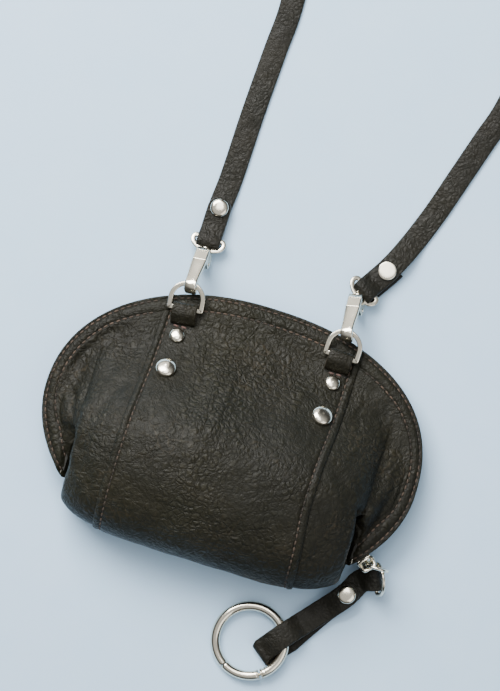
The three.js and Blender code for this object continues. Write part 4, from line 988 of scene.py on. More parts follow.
def side_panel(side):
    """The leather at one end: a body half that rolls into the pleat, and the wing outside it."""
    word = "left" if side < 0 else "right"

    def column_x(y):
        return share(seam_x(y, side) - side * UNDERLAP, side * PLEAT_X, SIDE_COLUMNS)

    grid = body_grid(column_x)
    if side < 0:
        grid = grid[:, ::-1]
    x = grid[..., 0]
    under = bell(np.maximum(0, side * (x - seam_x(grid[..., 1], side))), UNDER_WIDTH)
    distance = body_edge_distance(x, SKIN_ROWS)
    # The end of the base rolls in towards the pleat.
    to_end = PLEAT_X - side * x
    inside = np.clip(1 - to_end / PLEAT_ROUND, 0, 1)
    roll = PLEAT_ROUND * (1 - np.sqrt(1 - inside**2))
    from_crest = np.hypot(x - side * PLEAT_X, grid[..., 1] - PLEAT_Y)
    base = np.array([part in ("base_front", "base_back", "flat") for part, _ in SKIN_ROWS])
    back_fade = np.array([1 - t if part == "flat" else 1.0 for part, t in SKIN_ROWS])[:, None]
    roll = np.where(base[:, None], roll * smooth_step(0, 7, from_crest) * back_fade, 0)
    grid = relieved(grid, SKIN_ROWS, distance, -UNDER_DEPTH * under - roll)
    wing, wing_distance = wing_grid(side)
    if side < 0:
        wing = wing[:, ::-1]
        wing_distance = wing_distance[:, ::-1]
    wing = relieved(wing, WING_ROWS, wing_distance)
    wing = tuck(wing, WING_ROWS, side)
    # Both parts share the line above the pleat.
    shared_body, shared_wing = (-1, 0) if side > 0 else (0, -1)
    fronts, backs = len(RAY_ROWS), len(BACK_ROWS)
    shared_rows = (slice(0, fronts), slice(-backs, None))
    for rows in shared_rows:
        middle = (grid[rows, shared_body] + wing[rows, shared_wing]) / 2
        grid[rows, shared_body] = wing[rows, shared_wing] = middle
    body_normals, wing_normals = grid_normals(grid), grid_normals(wing)
    for rows in shared_rows:
        middle = unit(body_normals[rows, shared_body] + wing_normals[rows, shared_wing])
        body_normals[rows, shared_body] = wing_normals[rows, shared_wing] = middle
    stitches = []
    for part in ("front", "back"):
        for row in STITCH_ROWS:
            body_line = line_along(grid, body_normals, SKIN_ROWS, part, row)
            wing_line = line_along(wing, wing_normals, WING_ROWS, part, row)
            beyond = np.abs(body_line[0][:, 0]) > abs(seam_x(np.array([40.0]), side)[0]) + 1.5
            halves = [[rows[beyond] for rows in body_line], wing_line]
            stitches.append(stitch_row(*(np.vstack(pair) for pair in zip(*halves[::side]))))
    body_part = np.array(with_rims(grid, body_normals))
    wing_part = np.array(with_rims(wing, wing_normals))
    # A hidden margin of the wing runs on into the pleat.
    low = wing_part[:, -1 if side > 0 else 0].copy()
    is_front = np.arange(len(low))[:, None] < len(RIM_TURNS) + 1 + fronts
    low += vec(-side * MARGIN_IN, 0) + np.where(is_front, -MARGIN_DOWN, MARGIN_UP) * vec(0, 0, 1)
    wing_full = np.concatenate([wing_part, low[:, None]][::side], 1)
    faces = grid_faces(*body_part.shape[:2], flip=True)
    wing_faces = grid_faces(*wing_full.shape[:2], flip=True)
    points, faces = joined([(body_part.reshape(-1, 3), faces), (wing_full.reshape(-1, 3), wing_faces)])
    panel = make_mesh(f"side_leather_{word}", points, faces, LEATHER_LOOK, "leather")
    weld(panel)
    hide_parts(f"side_panel_{word}")
    stitch_piece(f"side_stitches_{word}", stitches, THREAD)


def weld(piece):
    """Merges the points of a piece that lie together."""
    mesh = bmesh.new()
    mesh.from_mesh(piece.data)
    bmesh.ops.remove_doubles(mesh, verts=mesh.verts, dist=WELD * MM)
    mesh.to_mesh(piece.data)
    mesh.free()


# Studs, tabs and D-rings


def panel_height(x, y):
    rim = outline_top(x)
    front = front_height(rim - y, rim - PLEAT_Y, zip_height(rim), crest(x))
    return float(front + LAP + ridge_sum(DENTS, x, y))


def on_panel(x, y, span=1.0):
    """A frame on the centre panel: z is its normal and y runs down to the zip."""
    z = panel_height(x, y)
    along_x = vec(1, 0, panel_height(x + 0.5, y) - panel_height(x - 0.5, y))
    along_y = unit(vec(0, span, panel_height(x, y + span) - z))
    normal = unit(np.cross(along_x, along_y))
    return basis(vec(x, y, z), np.cross(along_y, normal), along_y, normal)


STEM = 2.4


def dome(radius, height, base, fullness, steps=12):
    """The profile of a head from its rim to its top. fullness 2 is an ellipse."""
    angles = np.linspace(0, np.pi / 2, steps)
    return [
        (radius * math.cos(a) ** (2 / fullness), base + (height - base) * math.sin(a) ** (2 / fullness))
        for a in angles[:-1]
    ] + [(0, height)]


def stud_part(head, height, grip, skirt, fullness):
    """A rivet: its head sits at height 0 and its skirt reaches down to the leather."""
    radius = head / 2
    cap = head * 0.3
    below = [(0, -grip - RIVET_CAP), (cap, -grip - RIVET_CAP), (cap, -grip), (STEM / 2, -grip)]
    rim = [(STEM / 2, -skirt), (radius * 0.93, -skirt), (radius * 0.985, -skirt * 0.6), (radius, 0)]
    return turned(below + rim + dome(radius, height, 0.12, fullness)[1:])


TAB_LAYER = LEATHER + LAP + CLEARANCE
TAB_STEP = TAB_LEATHER + CLEARANCE
TAB_GRIP = TAB_LAYER + TAB_STEP * 2


def sag(head):
    return head**2 / 220 + CLEARANCE


def studs(word, side):
    sizes = {
        "large": (LARGE_STUD, LARGE_STUD_Y, 0.25, LEATHER + LAP),
        "small": (SMALL_STUD, SMALL_STUD_Y, 0.27, TAB_GRIP),
    }
    for size, (head, y, rise, layers) in sizes.items():
        place = on_panel(side * FITTING_X, y)
        lift = shifted(0, 0, sag(head))
        part = stud_part(head, head * rise, layers + sag(head) + CLEARANCE, sag(head) - 0.05, 2.25)
        points, faces = moved(part, place @ lift)
        stud = make_mesh(f"dome_{size}_{word}", points, faces, NICKEL, "nickel")
        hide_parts(f"stud_{size}_{word}")


def rounded_section(width, thickness, corner, steps=3):
    """The outline of a strap's section, from corner to corner."""
    section = []
    for quarter, (across, high) in enumerate([(1, 1), (-1, 1), (-1, -1), (1, -1)]):
        for k in range(steps + 1):
            angle = np.pi / 2 * (quarter + k / steps)
            x = across * (width / 2 - corner) + corner * math.cos(angle)
            section.append((x, high * (thickness / 2 - corner) + corner * math.sin(angle)))
    return section


def strap_part(points, sides, width, thickness, narrow=None, corner=0.5, crown=0.0):
    """A strap along a line, with rounded edges. narrow gives its width at each point as a share."""
    points, sides = np.asarray(points, float), np.asarray(sides, float)
    narrow = np.ones(len(points)) if narrow is None else np.asarray(narrow)
    along = tangents(points)
    rings = []
    for p, side, ahead, slim in zip(points, sides, along, narrow):
        up = unit(np.cross(side, ahead))
        section = rounded_section(max(width * slim, 2.2 * corner), thickness, corner)
        ring = []
        for across, high in section:
            bulge = crown * (1 - (2 * across / width) ** 2) * np.sign(high)
            ring.append(p + side * across + up * (high + bulge))
        rings.append(ring)
    return loft(rings)


SECTION_SIDES = 16  # points of a strap's section
PAINTED_SIDES = (0, 6, 7, 8, 14, 15)  # sides of it that are its cut edges


def paint_edges(piece):
    """Gives the cut edges and the ends of a strap their paint."""
    piece.data.materials.append(EDGE)
    middle = len(piece.data.polygons) - 2
    marks = [int(i % SECTION_SIDES in PAINTED_SIDES) for i in range(middle)] + [1, 1]
    piece.data.polygons.foreach_set("material_index", marks)


def tab_path(small, slit, bar_y):
    """The tab's middle line in the slit's frame, and the middle of the D-ring's bar."""
    half = TAB_LEATHER / 2
    turn = D_WIRE / 2 + CLEARANCE + half
    low = CLEARANCE + half
    bar = vec(0, bar_y, low + turn)
    behind = np.linalg.inv(slit) @ small
    stud, inward = behind[:3, 3], -behind[:3, 2]
    upper_in = TAB_LAYER + half
    lower_in = upper_in + TAB_STEP
    tail = vec(0, -STEM * 1.3, 0)
    path = [
        stud + inward * upper_in + tail,
        stud + inward * upper_in,
        vec(0, -half, -upper_in - half / 2),
        vec(0, 0.75, -LEATHER - LAP),
        vec(0, 1.0, 0),
        vec(0, 1.35, low + TAB_LEATHER * 0.6),
        vec(0, 2.3, low + TAB_STEP * 1.1),
        vec(0, bar_y * 0.55, low + turn * 1.72),
        vec(0, bar_y * 0.8, bar[2] + turn * 0.97),
    ]
    for k in range(9):
        angle = rad(84 - 174 * k / 8)
        path.append(bar + turn * vec(0, math.cos(angle), math.sin(angle)))
    path += [
        vec(0, bar_y * 0.6, low),
        vec(0, 3.4, low),
        vec(0, 2.7, half),
        vec(0, 2.5, -LEATHER / 2),
        vec(0, 2.3, -LEATHER - LAP - half),
        vec(0, 1.4, -lower_in + half),
        vec(0, -half, -lower_in - half / 2),
        stud + inward * lower_in,
        stud + inward * lower_in + tail,
    ]
    return np.array(path), bar


def d_path(width, height, wire_size, corner=1.2):
    """The middle line of a D-ring: a bar on the x axis, two legs and an arch."""
    half = (width - wire_size) / 2
    leg = height - wire_size - half
    corner = min(corner, max(leg, 0.3))
    path = [vec(x, 0) for x in np.linspace(-half + corner, half - corner, 6)]
    path += arc_points(half - corner, corner, corner, rad(np.linspace(-90, 0, 5)[1:]))
    path += arc_points(0, leg, half, rad(np.linspace(0, 180, 31)))
    path += arc_points(-half + corner, corner, corner, rad(np.linspace(180, 270, 5)[:-1]))
    return np.array(path)


D_TOPS = {}
SLIT_SHADE = (1.6, 1.35, 0.7)  # size of a painted shade mark in the slit, in needle holes
D_BAND = (2.1, 1.35, 0.32)  # width, thickness and corner of a D-ring's band
ROLL_BAR = 7.4  # slit to the D-ring's bar
TAB_TURN = {"left": 6, "right": -1}  # degrees that a tab has swung round


def flat_ring(path, width, thickness, corner):
    """A closed ring of flat band in the plane of x and y."""
    along = tangents(path, True)
    side = np.cross(along, vec(0, 0, 1))
    section = rounded_section(width, thickness, corner, 2)
    rings = [[p + s * across + vec(0, 0, high) for across, high in section] for p, s in zip(path, side)]
    return loft(rings, True)


def tab_and_ring(word, side):
    small = on_panel(side * FITTING_X, SMALL_STUD_Y)
    slit = on_panel(side * FITTING_X, TAB_SLIT_Y, TAB_BAR)
    c, s = cos_sin(TAB_TURN[word])
    middle = vec(0, ROLL_BAR)
    swung = basis(vec(0, 0), vec(c, s), vec(-s, c), vec(0, 0, 1))
    swung[:3, 3] = middle - placed(swung, middle)
    place = slit @ swung
    path, bar = tab_path(small, place, ROLL_BAR)
    line = smooth_line(path, 4)
    sides = np.tile(vec(1, 0, 0), (len(line), 1))
    part = strap_part(line, sides, TAB_WIDTH, TAB_LEATHER, corner=0.5, crown=0.08)
    tab = make_mesh(f"tab_leather_{word}", *moved(part, place), TAB_LOOK, "tab_leather")
    paint_edges(tab)
    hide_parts(f"tab_{word}")
    # The slit's shade is painted as a row of dark lenses, with a row of stitches across it.
    row = np.array([vec(x, -0.55 + 0.1 * math.sin(x), 0.02) for x in np.linspace(-5, 5, 9)])
    row_normals = np.tile(vec(0, 0, 1), (9, 1))
    threads, hole_shades = stitch_row(row, row_normals, 3.4, 2.6, 1.0, 0)
    hole_shade, fans = hole_shades[0]
    middle = hole_shade.mean(0) * vec(*SLIT_SHADE[:2])
    for x in np.linspace(-4.6, 4.6, 12):
        hole_shades.append((hole_shade * vec(*SLIT_SHADE) + vec(x, -0.7) - middle, fans))
    stitch_piece(f"tab_stitches_{word}", [(threads, hole_shades)], TAB_THREAD, slit)
    lean = vec(0, *cos_sin(D_LEAN))
    ring_frame = basis(vec(0, 0, 0), vec(1, 0, 0), lean, np.cross(vec(1, 0, 0), lean))
    cad_bar = vec(0, TAB_BAR, bar[2])
    D_TOPS[word] = placed(basis(placed(slit, cad_bar), *ring_frame[:3, :3].T), vec(0, D_HEIGHT - D_WIRE))
    path = d_path(D_WIDTH + 0.6, D_HEIGHT + TAB_BAR - ROLL_BAR, D_WIRE, 0.3)
    band = flat_ring(path, *D_BAND)
    turned_frame = swung.copy()
    turned_frame[:3, 3] = 0
    ring_place = basis(placed(place, bar), *(turned_frame[:3, :3] @ ring_frame[:3, :3]).T)
    loop = make_mesh(f"d_loop_{word}", *moved(band, ring_place), NICKEL, "nickel")
    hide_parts(f"d_ring_{word}")


# Zip


def zip_line():
    """The middle line of the teeth, from the lower right end to the lower left, with its outward way."""
    points, ways = [], []
    wings = {}
    for side in (1, -1):
        high, low = wing_ends(side)
        angles = np.linspace(low, high, 60)
        x, y = outline(angles if side > 0 else 180 - angles)
        wings[side] = [(px, py, side * PLEAT_X) for px, py in zip(x, y)]
    top = [(x, float(outline_top(x)), x) for x in np.linspace(PLEAT_X, -PLEAT_X, 90)[1:-1]]
    for x, y, foot_x in wings[1] + top + wings[-1][::-1]:
        inward = unit(vec(foot_x - x, PLEAT_Y - y))
        middle = vec(x, y) + inward * (CLEARANCE + CHAIN_WIDTH / 2)
        middle[2] = zip_height(y)
        points.append(middle)
        ways.append(-inward)
    return np.array(points), np.array(ways)


TOOTH_PITCH = 1.5
TOOTH = (0.95, CHAIN_WIDTH, 1.75)  # along the zip, inwards and across it
TOOTH_SWING = 0.34  # how far teeth stand to their own side
SLIDER_COVER = 3.6  # how far the slider hides the teeth


def zip_teeth():
    line, ways = zip_line()
    at, along = distances(line), tangents(line)
    box = np.array([(x, y, z) for x in (-0.5, 0.5) for y in (-0.5, 0.5) for z in (-0.5, 0.5)])
    corners = [(0, 1, 3, 2), (4, 6, 7, 5), (0, 4, 5, 1), (2, 3, 7, 6), (0, 2, 6, 4), (1, 5, 7, 3)]
    slider_place = outline(np.array([float(SLIDER_ANGLE)]))
    slider_at = vec(slider_place[0][0], slider_place[1][0])
    parts = []
    for i, s in enumerate(np.arange(0.5, at[-1] - 0.4, TOOTH_PITCH / 2)):
        middle = row_at(s, at, line)
        if np.linalg.norm((middle - slider_at)[:2]) < SLIDER_COVER:
            continue
        ahead, out = unit(row_at(s, at, along)), unit(row_at(s, at, ways))
        up = unit(np.cross(out, ahead))
        up = up if up[2] > 0 else -up
        swing = TOOTH_SWING if i % 2 else -TOOTH_SWING
        tooth = box * TOOTH
        # The head of a tooth is broader than its foot.
        tooth[:, 0] *= np.where(tooth[:, 2] * swing < 0, 0.8, 0.55)
        place = basis(middle + up * swing + out * 0.1, ahead, out, up)
        parts.append((placed(place, tooth), [list(face) for face in corners]))
    points, faces = joined(parts)
    teeth = make_mesh("zip_teeth", points, faces, TEETH, "teeth", smooth=False)
    bevelled(teeth, 0.16, 1)
    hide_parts("zip_chain")


def slider_frames():
    """The slider's frame at the zip's edge and the tilted frame of its outer plate."""
    x, y = outline(np.array([float(SLIDER_ANGLE)]))
    rim = vec(x[0], y[0], float(zip_height(y[0])))
    lower = TOP_REACH * LOWER_SHARE
    outwards = unit(vec(rim[0] / HALF_LENGTH**2, rim[1] / lower**2))
    along = vec(-outwards[1], outwards[0])
    base = basis(rim, along, outwards, vec(0, 0, 1))
    c, s = cos_sin(SLIDER_TILT)
    plate_y = SLIDER_PLATE / 2 + SLIDER_WIDTH * 0.3
    tilt = basis(vec(0, plate_y, 0), vec(1, 0, 0), vec(0, c, s), vec(0, -s, c))
    return base, base @ tilt, plate_y


def slider_outline(length, width):
    """The plate's outline: broad where the teeth enter and narrow where they leave closed."""
    rows = [(-1, 0.74), (-0.8, 0.92), (-0.3, 1.0), (0.25, 0.98), (0.7, 0.8), (0.96, 0.52), (1, 0.2)]
    upper = [(k * length / 2, wide * width / 2) for k, wide in rows]
    return upper[::-1] + [(x, -y) for x, y in upper]


def slider_and_puller():
    base, plate, plate_y = slider_frames()
    flat = basis(vec(0, 0, 0), vec(1, 0, 0), vec(0, 0, 1), vec(0, -1, 0))
    front = moved(prism(slider_outline(SLIDER_LENGTH, SLIDER_WIDTH), SLIDER_PLATE), plate @ flat)
    back_depth = SLIDER_PLATE * 0.8
    back_y = -(CLEARANCE * 2 + CHAIN_WIDTH + back_depth / 2)
    height = 2 * (SLOT / 2 - CLEARANCE)
    back = slider_outline(SLIDER_LENGTH * 0.8, height)
    back_at = basis(vec(0, back_y, 0), vec(1, 0, 0), vec(0, 0, 1), vec(0, -1, 0))
    neck_half = SLIDER_LENGTH * 0.35 / 2
    neck = [(-neck_half, back_y), (neck_half, back_y), (neck_half, plate_y), (-neck_half, plate_y)]
    parts = [front, moved(prism(back, back_depth), base @ back_at), moved(prism(neck, height / 2), base)]
    # Lips along the plate's edges guide the teeth.
    for up in (-1, 1):
        at = shifted(0, -0.75, up * (SLIDER_WIDTH / 2 - 0.45))
        lip = [(-3.3, -0.55), (3.0, -0.55), (3.0, 0.55), (-3.3, 0.55)]
        parts.append(moved(prism(lip, 0.7), plate @ at))
    points, faces = joined(parts)
    slider = make_mesh("slider", points, faces, NICKEL, "nickel")
    bevelled(slider, 0.28, 3)
    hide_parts("zip_slider")
    top = SLIDER_PLATE / 2 + PULLER_WIRE + 2 * CLEARANCE + BRIDGE_WIRE / 2
    half = SLIDER_LENGTH * 0.36
    leg = [(half, 0), (half, top * 0.6), (half * 0.72, top)]
    path = smooth_line([vec(-x, y) for x, y in leg] + [vec(x, y) for x, y in leg[::-1]])
    points, faces = moved(wire(path, BRIDGE_WIRE / 2 * 1.2, False, 12, 0.9), plate)
    make_mesh("slider_bridge", points, faces, NICKEL, "nickel")
    seat = placed(plate, vec(0, SLIDER_PLATE / 2 + CLEARANCE + PULLER_WIRE / 2, 0))
    c, s = cos_sin(PULLER_LIFT)
    reach = vec(c, 0, s)
    centre = seat + reach * PULLER_RADIUS
    place = basis(centre, reach, np.cross(vec(0, -1, 0), reach), vec(0, -1, 0))
    circle = arc_points(0, 0, PULLER_RADIUS, round_angles(40))
    points, faces = moved(wire(circle, PULLER_WIRE / 2, True), place)
    puller = make_mesh("puller_loop", points, faces, NICKEL, "nickel")
    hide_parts("puller_ring")
    return centre


# Clasps. In a clasp's own frame x runs from the swivel to the hook, y is up and z is across.

HOOK_RADIUS = (CLASP_DEPTH - 2 * CLASP_SPINE) / 2
HOOK_X = CLASP_LENGTH - CLASP_SPINE - HOOK_RADIUS
GATE_GAP_X = HOOK_X - HOOK_RADIUS * 1.5
GATE_X = GATE_GAP_X - CLEARANCE
PIVOT = (CLASP_BLOCK * 0.66, -CLASP_DEPTH * 0.3)
PIVOT_RADIUS = CLASP_PIN / 2 + CLEARANCE + 0.7
WIRE_SEAT = vec(HOOK_X + HOOK_RADIUS - 4 * CLEARANCE - D_WIRE / 2, CLEARANCE)


NECK_REACH = 2.1  # block to the head of the neck
HUB = 1.5  # length of the eye's hub on the neck
FOLD_SLACK = 1.6  # how far the strap's fold hangs past the eye's bar
EYE_TILT = 14  # degrees that an eye slopes down towards its bar
EYE_REACH = 5.7  # hub to the eye's bar


def clasp_frame(word):
    swing, rise, roll = rad(CLASP_SWING[word]), rad(CLASP_RISE), rad(CLASP_ROLL[word])
    to_hook = vec(-math.sin(swing) * math.cos(rise), -math.cos(swing) * math.cos(rise), math.sin(rise))
    across = unit(np.cross(vec(0, 0, 1), to_hook))
    upright = np.cross(to_hook, across)
    up = upright * math.cos(roll) - across * math.sin(roll)
    place = basis(vec(0, 0, 0), to_hook, up, np.cross(to_hook, up))
    place[:3, 3] = D_TOPS[word] - placed(place, WIRE_SEAT)
    return place


# The hook's width as a share of the clasp's, from the spine's start to the claw's end
CLAW_WIDTHS = [
    (0, 1.5), (0.06, 1.62), (0.17, 1.58), (0.3, 1.36), (0.42, 1.3), (0.6, 1.3), (0.8, 1.0), (1, 0.75)
]


def claw_part():
    """The spine and the hook: one band that narrows, swells over the bend and ends in the claw."""
    middle = HOOK_RADIUS + CLASP_SPINE / 2
    path = [vec(x, middle) for x in np.linspace(0.4, HOOK_X, 11)]
    path += arc_points(HOOK_X, 0, middle, np.linspace(np.pi / 2, -np.pi / 2, 15)[1:])
    path += [vec(x, -middle) for x in np.linspace(HOOK_X, GATE_GAP_X, 4)[1:]]
    path = np.array(path)
    widths = np.interp(np.linspace(0, 1, len(path)), *zip(*CLAW_WIDTHS))
    sides = np.tile(vec(0, 0, -1), (len(path), 1))
    return strap_part(path, sides, CLASP_WIDTH, CLASP_SPINE, widths, corner=0.55, crown=0.16)


def clasp_block():
    """The block at the swivel: a solid heel and two cheeks that hold the lever's pin."""
    half, bevel = CLASP_DEPTH / 2, 1.6
    slot_from = PIVOT[0] - PIVOT_RADIUS - 2 * CLEARANCE
    heel = [(0, -half + bevel), (bevel, -half), (slot_from, -half)]
    heel += [(x, -y) for x, y in heel[::-1]]
    top = PIVOT[1] + PIVOT_RADIUS + 2 * CLEARANCE
    roof = [(slot_from, top), (CLASP_BLOCK, top), (CLASP_BLOCK, half), (slot_from, half)]
    cheek = [(slot_from - 0.3, -half), (CLASP_BLOCK - 1, -half), (CLASP_BLOCK, -half + 1)]
    cheek += [(CLASP_BLOCK, half - 0.4), (slot_from - 0.3, half - 0.4)]
    slot = LEVER + 2 * CLEARANCE
    side = (BLOCK_WIDTH - slot) / 2
    parts = [prism(heel, BLOCK_WIDTH), prism(roof, BLOCK_WIDTH * 0.96)]
    for way in (-1, 1):
        points, faces = prism(cheek, side)
        parts.append((points + vec(0, 0, way * (slot + side) / 2), faces))
    return joined(parts)


def along_x(part):
    """A turned part with its axis along x."""
    return moved(part, basis(vec(0, 0, 0), vec(0, 0, -1), vec(0, 1, 0), vec(1, 0, 0)))


def swivel_part():
    head, neck = NECK_HEAD / 2, NECK / 2
    end = -NECK_REACH - 1
    rows = [(0, end), (head * 0.7, end), (head, end + 0.35), (head, -NECK_REACH - 0.15)]
    rows += [(head * 0.85, -NECK_REACH), (neck, -NECK_REACH), (neck, -0.7), (neck * 1.3, -0.4)]
    rows += [(neck * 1.5, 0), (neck * 1.5, 0.5), (0, 0.6)]
    return along_x(turned(rows, 24))


def lever_part():
    half = CLASP_DEPTH / 2
    arm = [
        (PIVOT[0], -half + CLEARANCE / 2),
        (GATE_X, -half + CLEARANCE / 2),
        (GATE_X, -HOOK_RADIUS - CLEARANCE / 2),
        (GATE_X - 3, -HOOK_RADIUS - CLEARANCE),
        (PIVOT[0], PIVOT[1] + CLASP_PIN / 2 + CLEARANCE),
    ]
    low, reach = PIVOT_RADIUS * 0.9, half + THUMB
    thumb = [
        (PIVOT[0] - low, PIVOT[1]),
        (PIVOT[0] - low * 1.1, -reach * 0.8),
        (PIVOT[0] - low * 0.8, -reach),
        (PIVOT[0] + low * 0.4, -reach * 0.97),
        (PIVOT[0] + low * 1.1, -reach * 0.78),
        (PIVOT[0] + low, PIVOT[1]),
    ]
    hub = [point[:2] for point in arc_points(*PIVOT, PIVOT_RADIUS, round_angles(20))]
    return joined([prism(shape, LEVER) for shape in (arm, thumb, hub)])


def clasp(word):
    place = clasp_frame(word)
    block = make_mesh(f"clasp_block_{word}", *moved(clasp_block(), place), NICKEL, "nickel")
    bevelled(block, 0.42, 3)
    half_pin = BLOCK_WIDTH / 2 + 0.3
    ends = [(0, 0.1), (0.8, 0), (1.0, -0.2), (1.0, -0.9)]
    pin_rows = [(r, -half_pin - z) for r, z in ends] + [(r, half_pin + z) for r, z in ends[::-1]]
    pin = turned(pin_rows, 16)
    pin = (pin[0] + vec(*PIVOT), pin[1])
    body = joined([claw_part(), swivel_part(), pin])
    hook = make_mesh(f"clasp_hook_{word}", *moved(body, place), NICKEL, "nickel")
    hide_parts(f"clasp_body_{word}")
    lever = make_mesh(f"lever_{word}", *moved(lever_part(), place), NICKEL, "nickel", f"lever_{word}")
    bevelled(lever, 0.25, 2)
    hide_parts(f"clasp_lever_{word}")
    # The eye lies nearly level, from the swivel to the bar in the strap's fold.
    arch = placed(place, vec(-(CLEARANCE + HUB / 2), 0))
    rivet = vec(*(STRAP_LEFT[0] if word == "left" else STRAP_RIGHT[-1]))
    level = unit((rivet - arch) * vec(1, 1, 0))
    c, s = cos_sin(EYE_TILT)
    to_bar = level * c - vec(0, 0, s)
    across = unit(np.cross(vec(0, 0, 1), to_bar))
    bar = arch + to_bar * EYE_REACH
    eye_place = basis(bar, across, -to_bar, np.cross(across, -to_bar))
    loop = moved(flat_ring(eye_path(EYE_WIDTH - EYE_WIRE, EYE_REACH), EYE_WIRE, 1.5, 0.5), eye_place)
    radius = NECK_HEAD * 0.6
    start, end = -CLEARANCE - HUB, -CLEARANCE
    rows = [(0, start), (radius * 0.8, start), (radius, start + 0.3)]
    rows += [(radius, end - 0.3), (radius * 0.8, end), (0, end)]
    boss = moved(along_x(turned(rows, 24)), place)
    eye = make_mesh(f"swivel_eye_{word}", *joined([loop, boss]), NICKEL, "nickel")
    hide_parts(f"clasp_eye_{word}")
    return bar - to_bar * FOLD_SLACK, unit(to_bar * vec(1, 1, 0))


def eye_path(width, reach):
    """The middle line of an eye: a bar with round corners and a flat arch."""
    half, leg = width / 2, 1.6
    path = [vec(x, 0) for x in np.linspace(-half + leg, half - leg, 7)]
    turn = rad(np.linspace(-90, 0, 7)[1:])
    path += arc_points(half - leg, leg, leg, turn)
    for a in rad(np.linspace(0, 180, 33)[1:-1]):
        path.append(vec(half * math.cos(a), leg + (reach - leg) * math.sin(a) ** 0.9))
    path += [vec(-half + leg - leg * math.cos(a), leg + leg * math.sin(a)) for a in turn[::-1]]
    return np.array(path)


# Strap

STRAP_LEFT = [(-35, 96), (-34, 110), (-33.3, 140), (-32, 170), (-31, 192)]
STRAP_RIGHT = [(73.4, 175), (68.8, 160), (62.7, 140), (56.5, 120), (48.8, 100), (44.3, 91)]
LOOP_MIDDLE = vec(21, 184)
# The loop beyond, as shares of its size.
LOOP = [(-0.19, 0.3), (-0.235, 0.62), (-0.15, 0.91), (0, 1), (0.15, 0.91), (0.235, 0.62), (0.2, 0.3)]
FOLD_LEAD = 6
FOLD_TIP = {"left": 20.5, "right": 16.5}
BAR_NEAR = 1.2  # bar to the first place of a layer
LEFT_END, RIGHT_END = 34, 40  # lengths of the ends, which have places close together
END_STEP = 1.5
TIP_LIFT = 0.7  # how far a strap's free tip stands up
UNDER_SLIDE = 1.0  # how far the lower layer of the right end shows beside the upper one


class GroundLine:
    """A smooth line on the ground through points, measured along its length."""

    def __init__(self, points, per_span=60):
        points = np.asarray(points, float)
        line = []
        for p0, p1, p2, p3 in spans(points):
            pairs = ((p0, p1), (p1, p2), (p2, p3))
            d0, d1, d2 = [max(math.sqrt(np.linalg.norm(b - a)), 1e-6) for a, b in pairs]
            t1 = ((p1 - p0) / d0 - (p2 - p0) / (d0 + d1) + (p2 - p1) / d1) * d1
            t2 = ((p2 - p1) / d1 - (p3 - p1) / (d1 + d2) + (p3 - p2) / d2) * d1
            for t in np.arange(per_span) / per_span:
                cubic = p1 + t1 * t + (3 * (p2 - p1) - 2 * t1 - t2) * t**2
                line.append(cubic + (2 * (p1 - p2) + t1 + t2) * t**3)
        line.append(points[-1])
        self.line = np.array(line)
        self.at = distances(self.line)
        self.length = self.at[-1]
        self.along = tangents(self.line)

    def point(self, s, z=0.0):
        return vec(np.interp(s, self.at, self.line[:, 0]), np.interp(s, self.at, self.line[:, 1]), z)

    def side(self, s):
        x, y = (np.interp(s, self.at, self.along[:, k]) for k in (0, 1))
        return unit(vec(-y, x))

    def nearest(self, point):
        return self.at[np.argmin(np.linalg.norm(self.line - point, axis=1))]


def height_along(rows, s):
    """A strip's height along its line, from rows of distance and height."""
    if s <= rows[0][0]:
        return rows[0][1]
    for (start, low), (end, high) in zip(rows, rows[1:]):
        if s <= end:
            k = (s - start) / (end - start)
            return share(low, high, k * k * (3 - 2 * k))
    return rows[-1][1]


def layer_run(line, rows, start, end, step):
    places = np.linspace(start, end, max(1, round(abs(end - start) / step)) + 1)
    return [(line.point(s, height_along(rows, s)), line.side(s), 1.0) for s in places]


def round_tip(line, rows, tip, inward, width):
    """A rounded end: the first stations of a strip, narrowed."""
    stations = []
    for k in (0, 0.04, 0.12, 0.22, 0.35, 0.5, 0.7, 0.85):
        s = tip + inward * width * k / 2
        narrow = math.sqrt(1 - (1 - k) ** 2) * 0.94 + 0.06
        stations.append((line.point(s, height_along(rows, s)), line.side(s), narrow))
    return stations


def hairpin(bar, heading, side, radius, start, end, slide=(0, 0)):
    """A fold round a bar. slide moves its ends along the bar."""
    stations = []
    for k in np.linspace(0, 1, 15):
        angle = rad(share(start, end, k))
        p = bar + heading * radius * math.cos(angle) + vec(0, 0, radius * math.sin(angle))
        stations.append((p + side * share(*slide, k), side, 1.0))
    return stations


def slid(stations, amounts):
    """Stations moved sideways. amounts gives the move for each share of the way along them."""
    last = max(1, len(stations) - 1)
    return [(p + side * amounts(i / last), side, slim) for i, (p, side, slim) in enumerate(stations)]


def layer_step(leather):
    return leather + CLEARANCE


FOLD_RADIUS = EYE_WIRE / 2 + CLEARANCE + STRAP_LEATHER / 2
ON_GROUND = STRAP_LEATHER / 2
RIVETED_LOW = RIVET_CAP + CLEARANCE / 2 + STRAP_LEATHER / 2
RIVETED_HIGH = RIVETED_LOW + layer_step(STRAP_LEATHER)


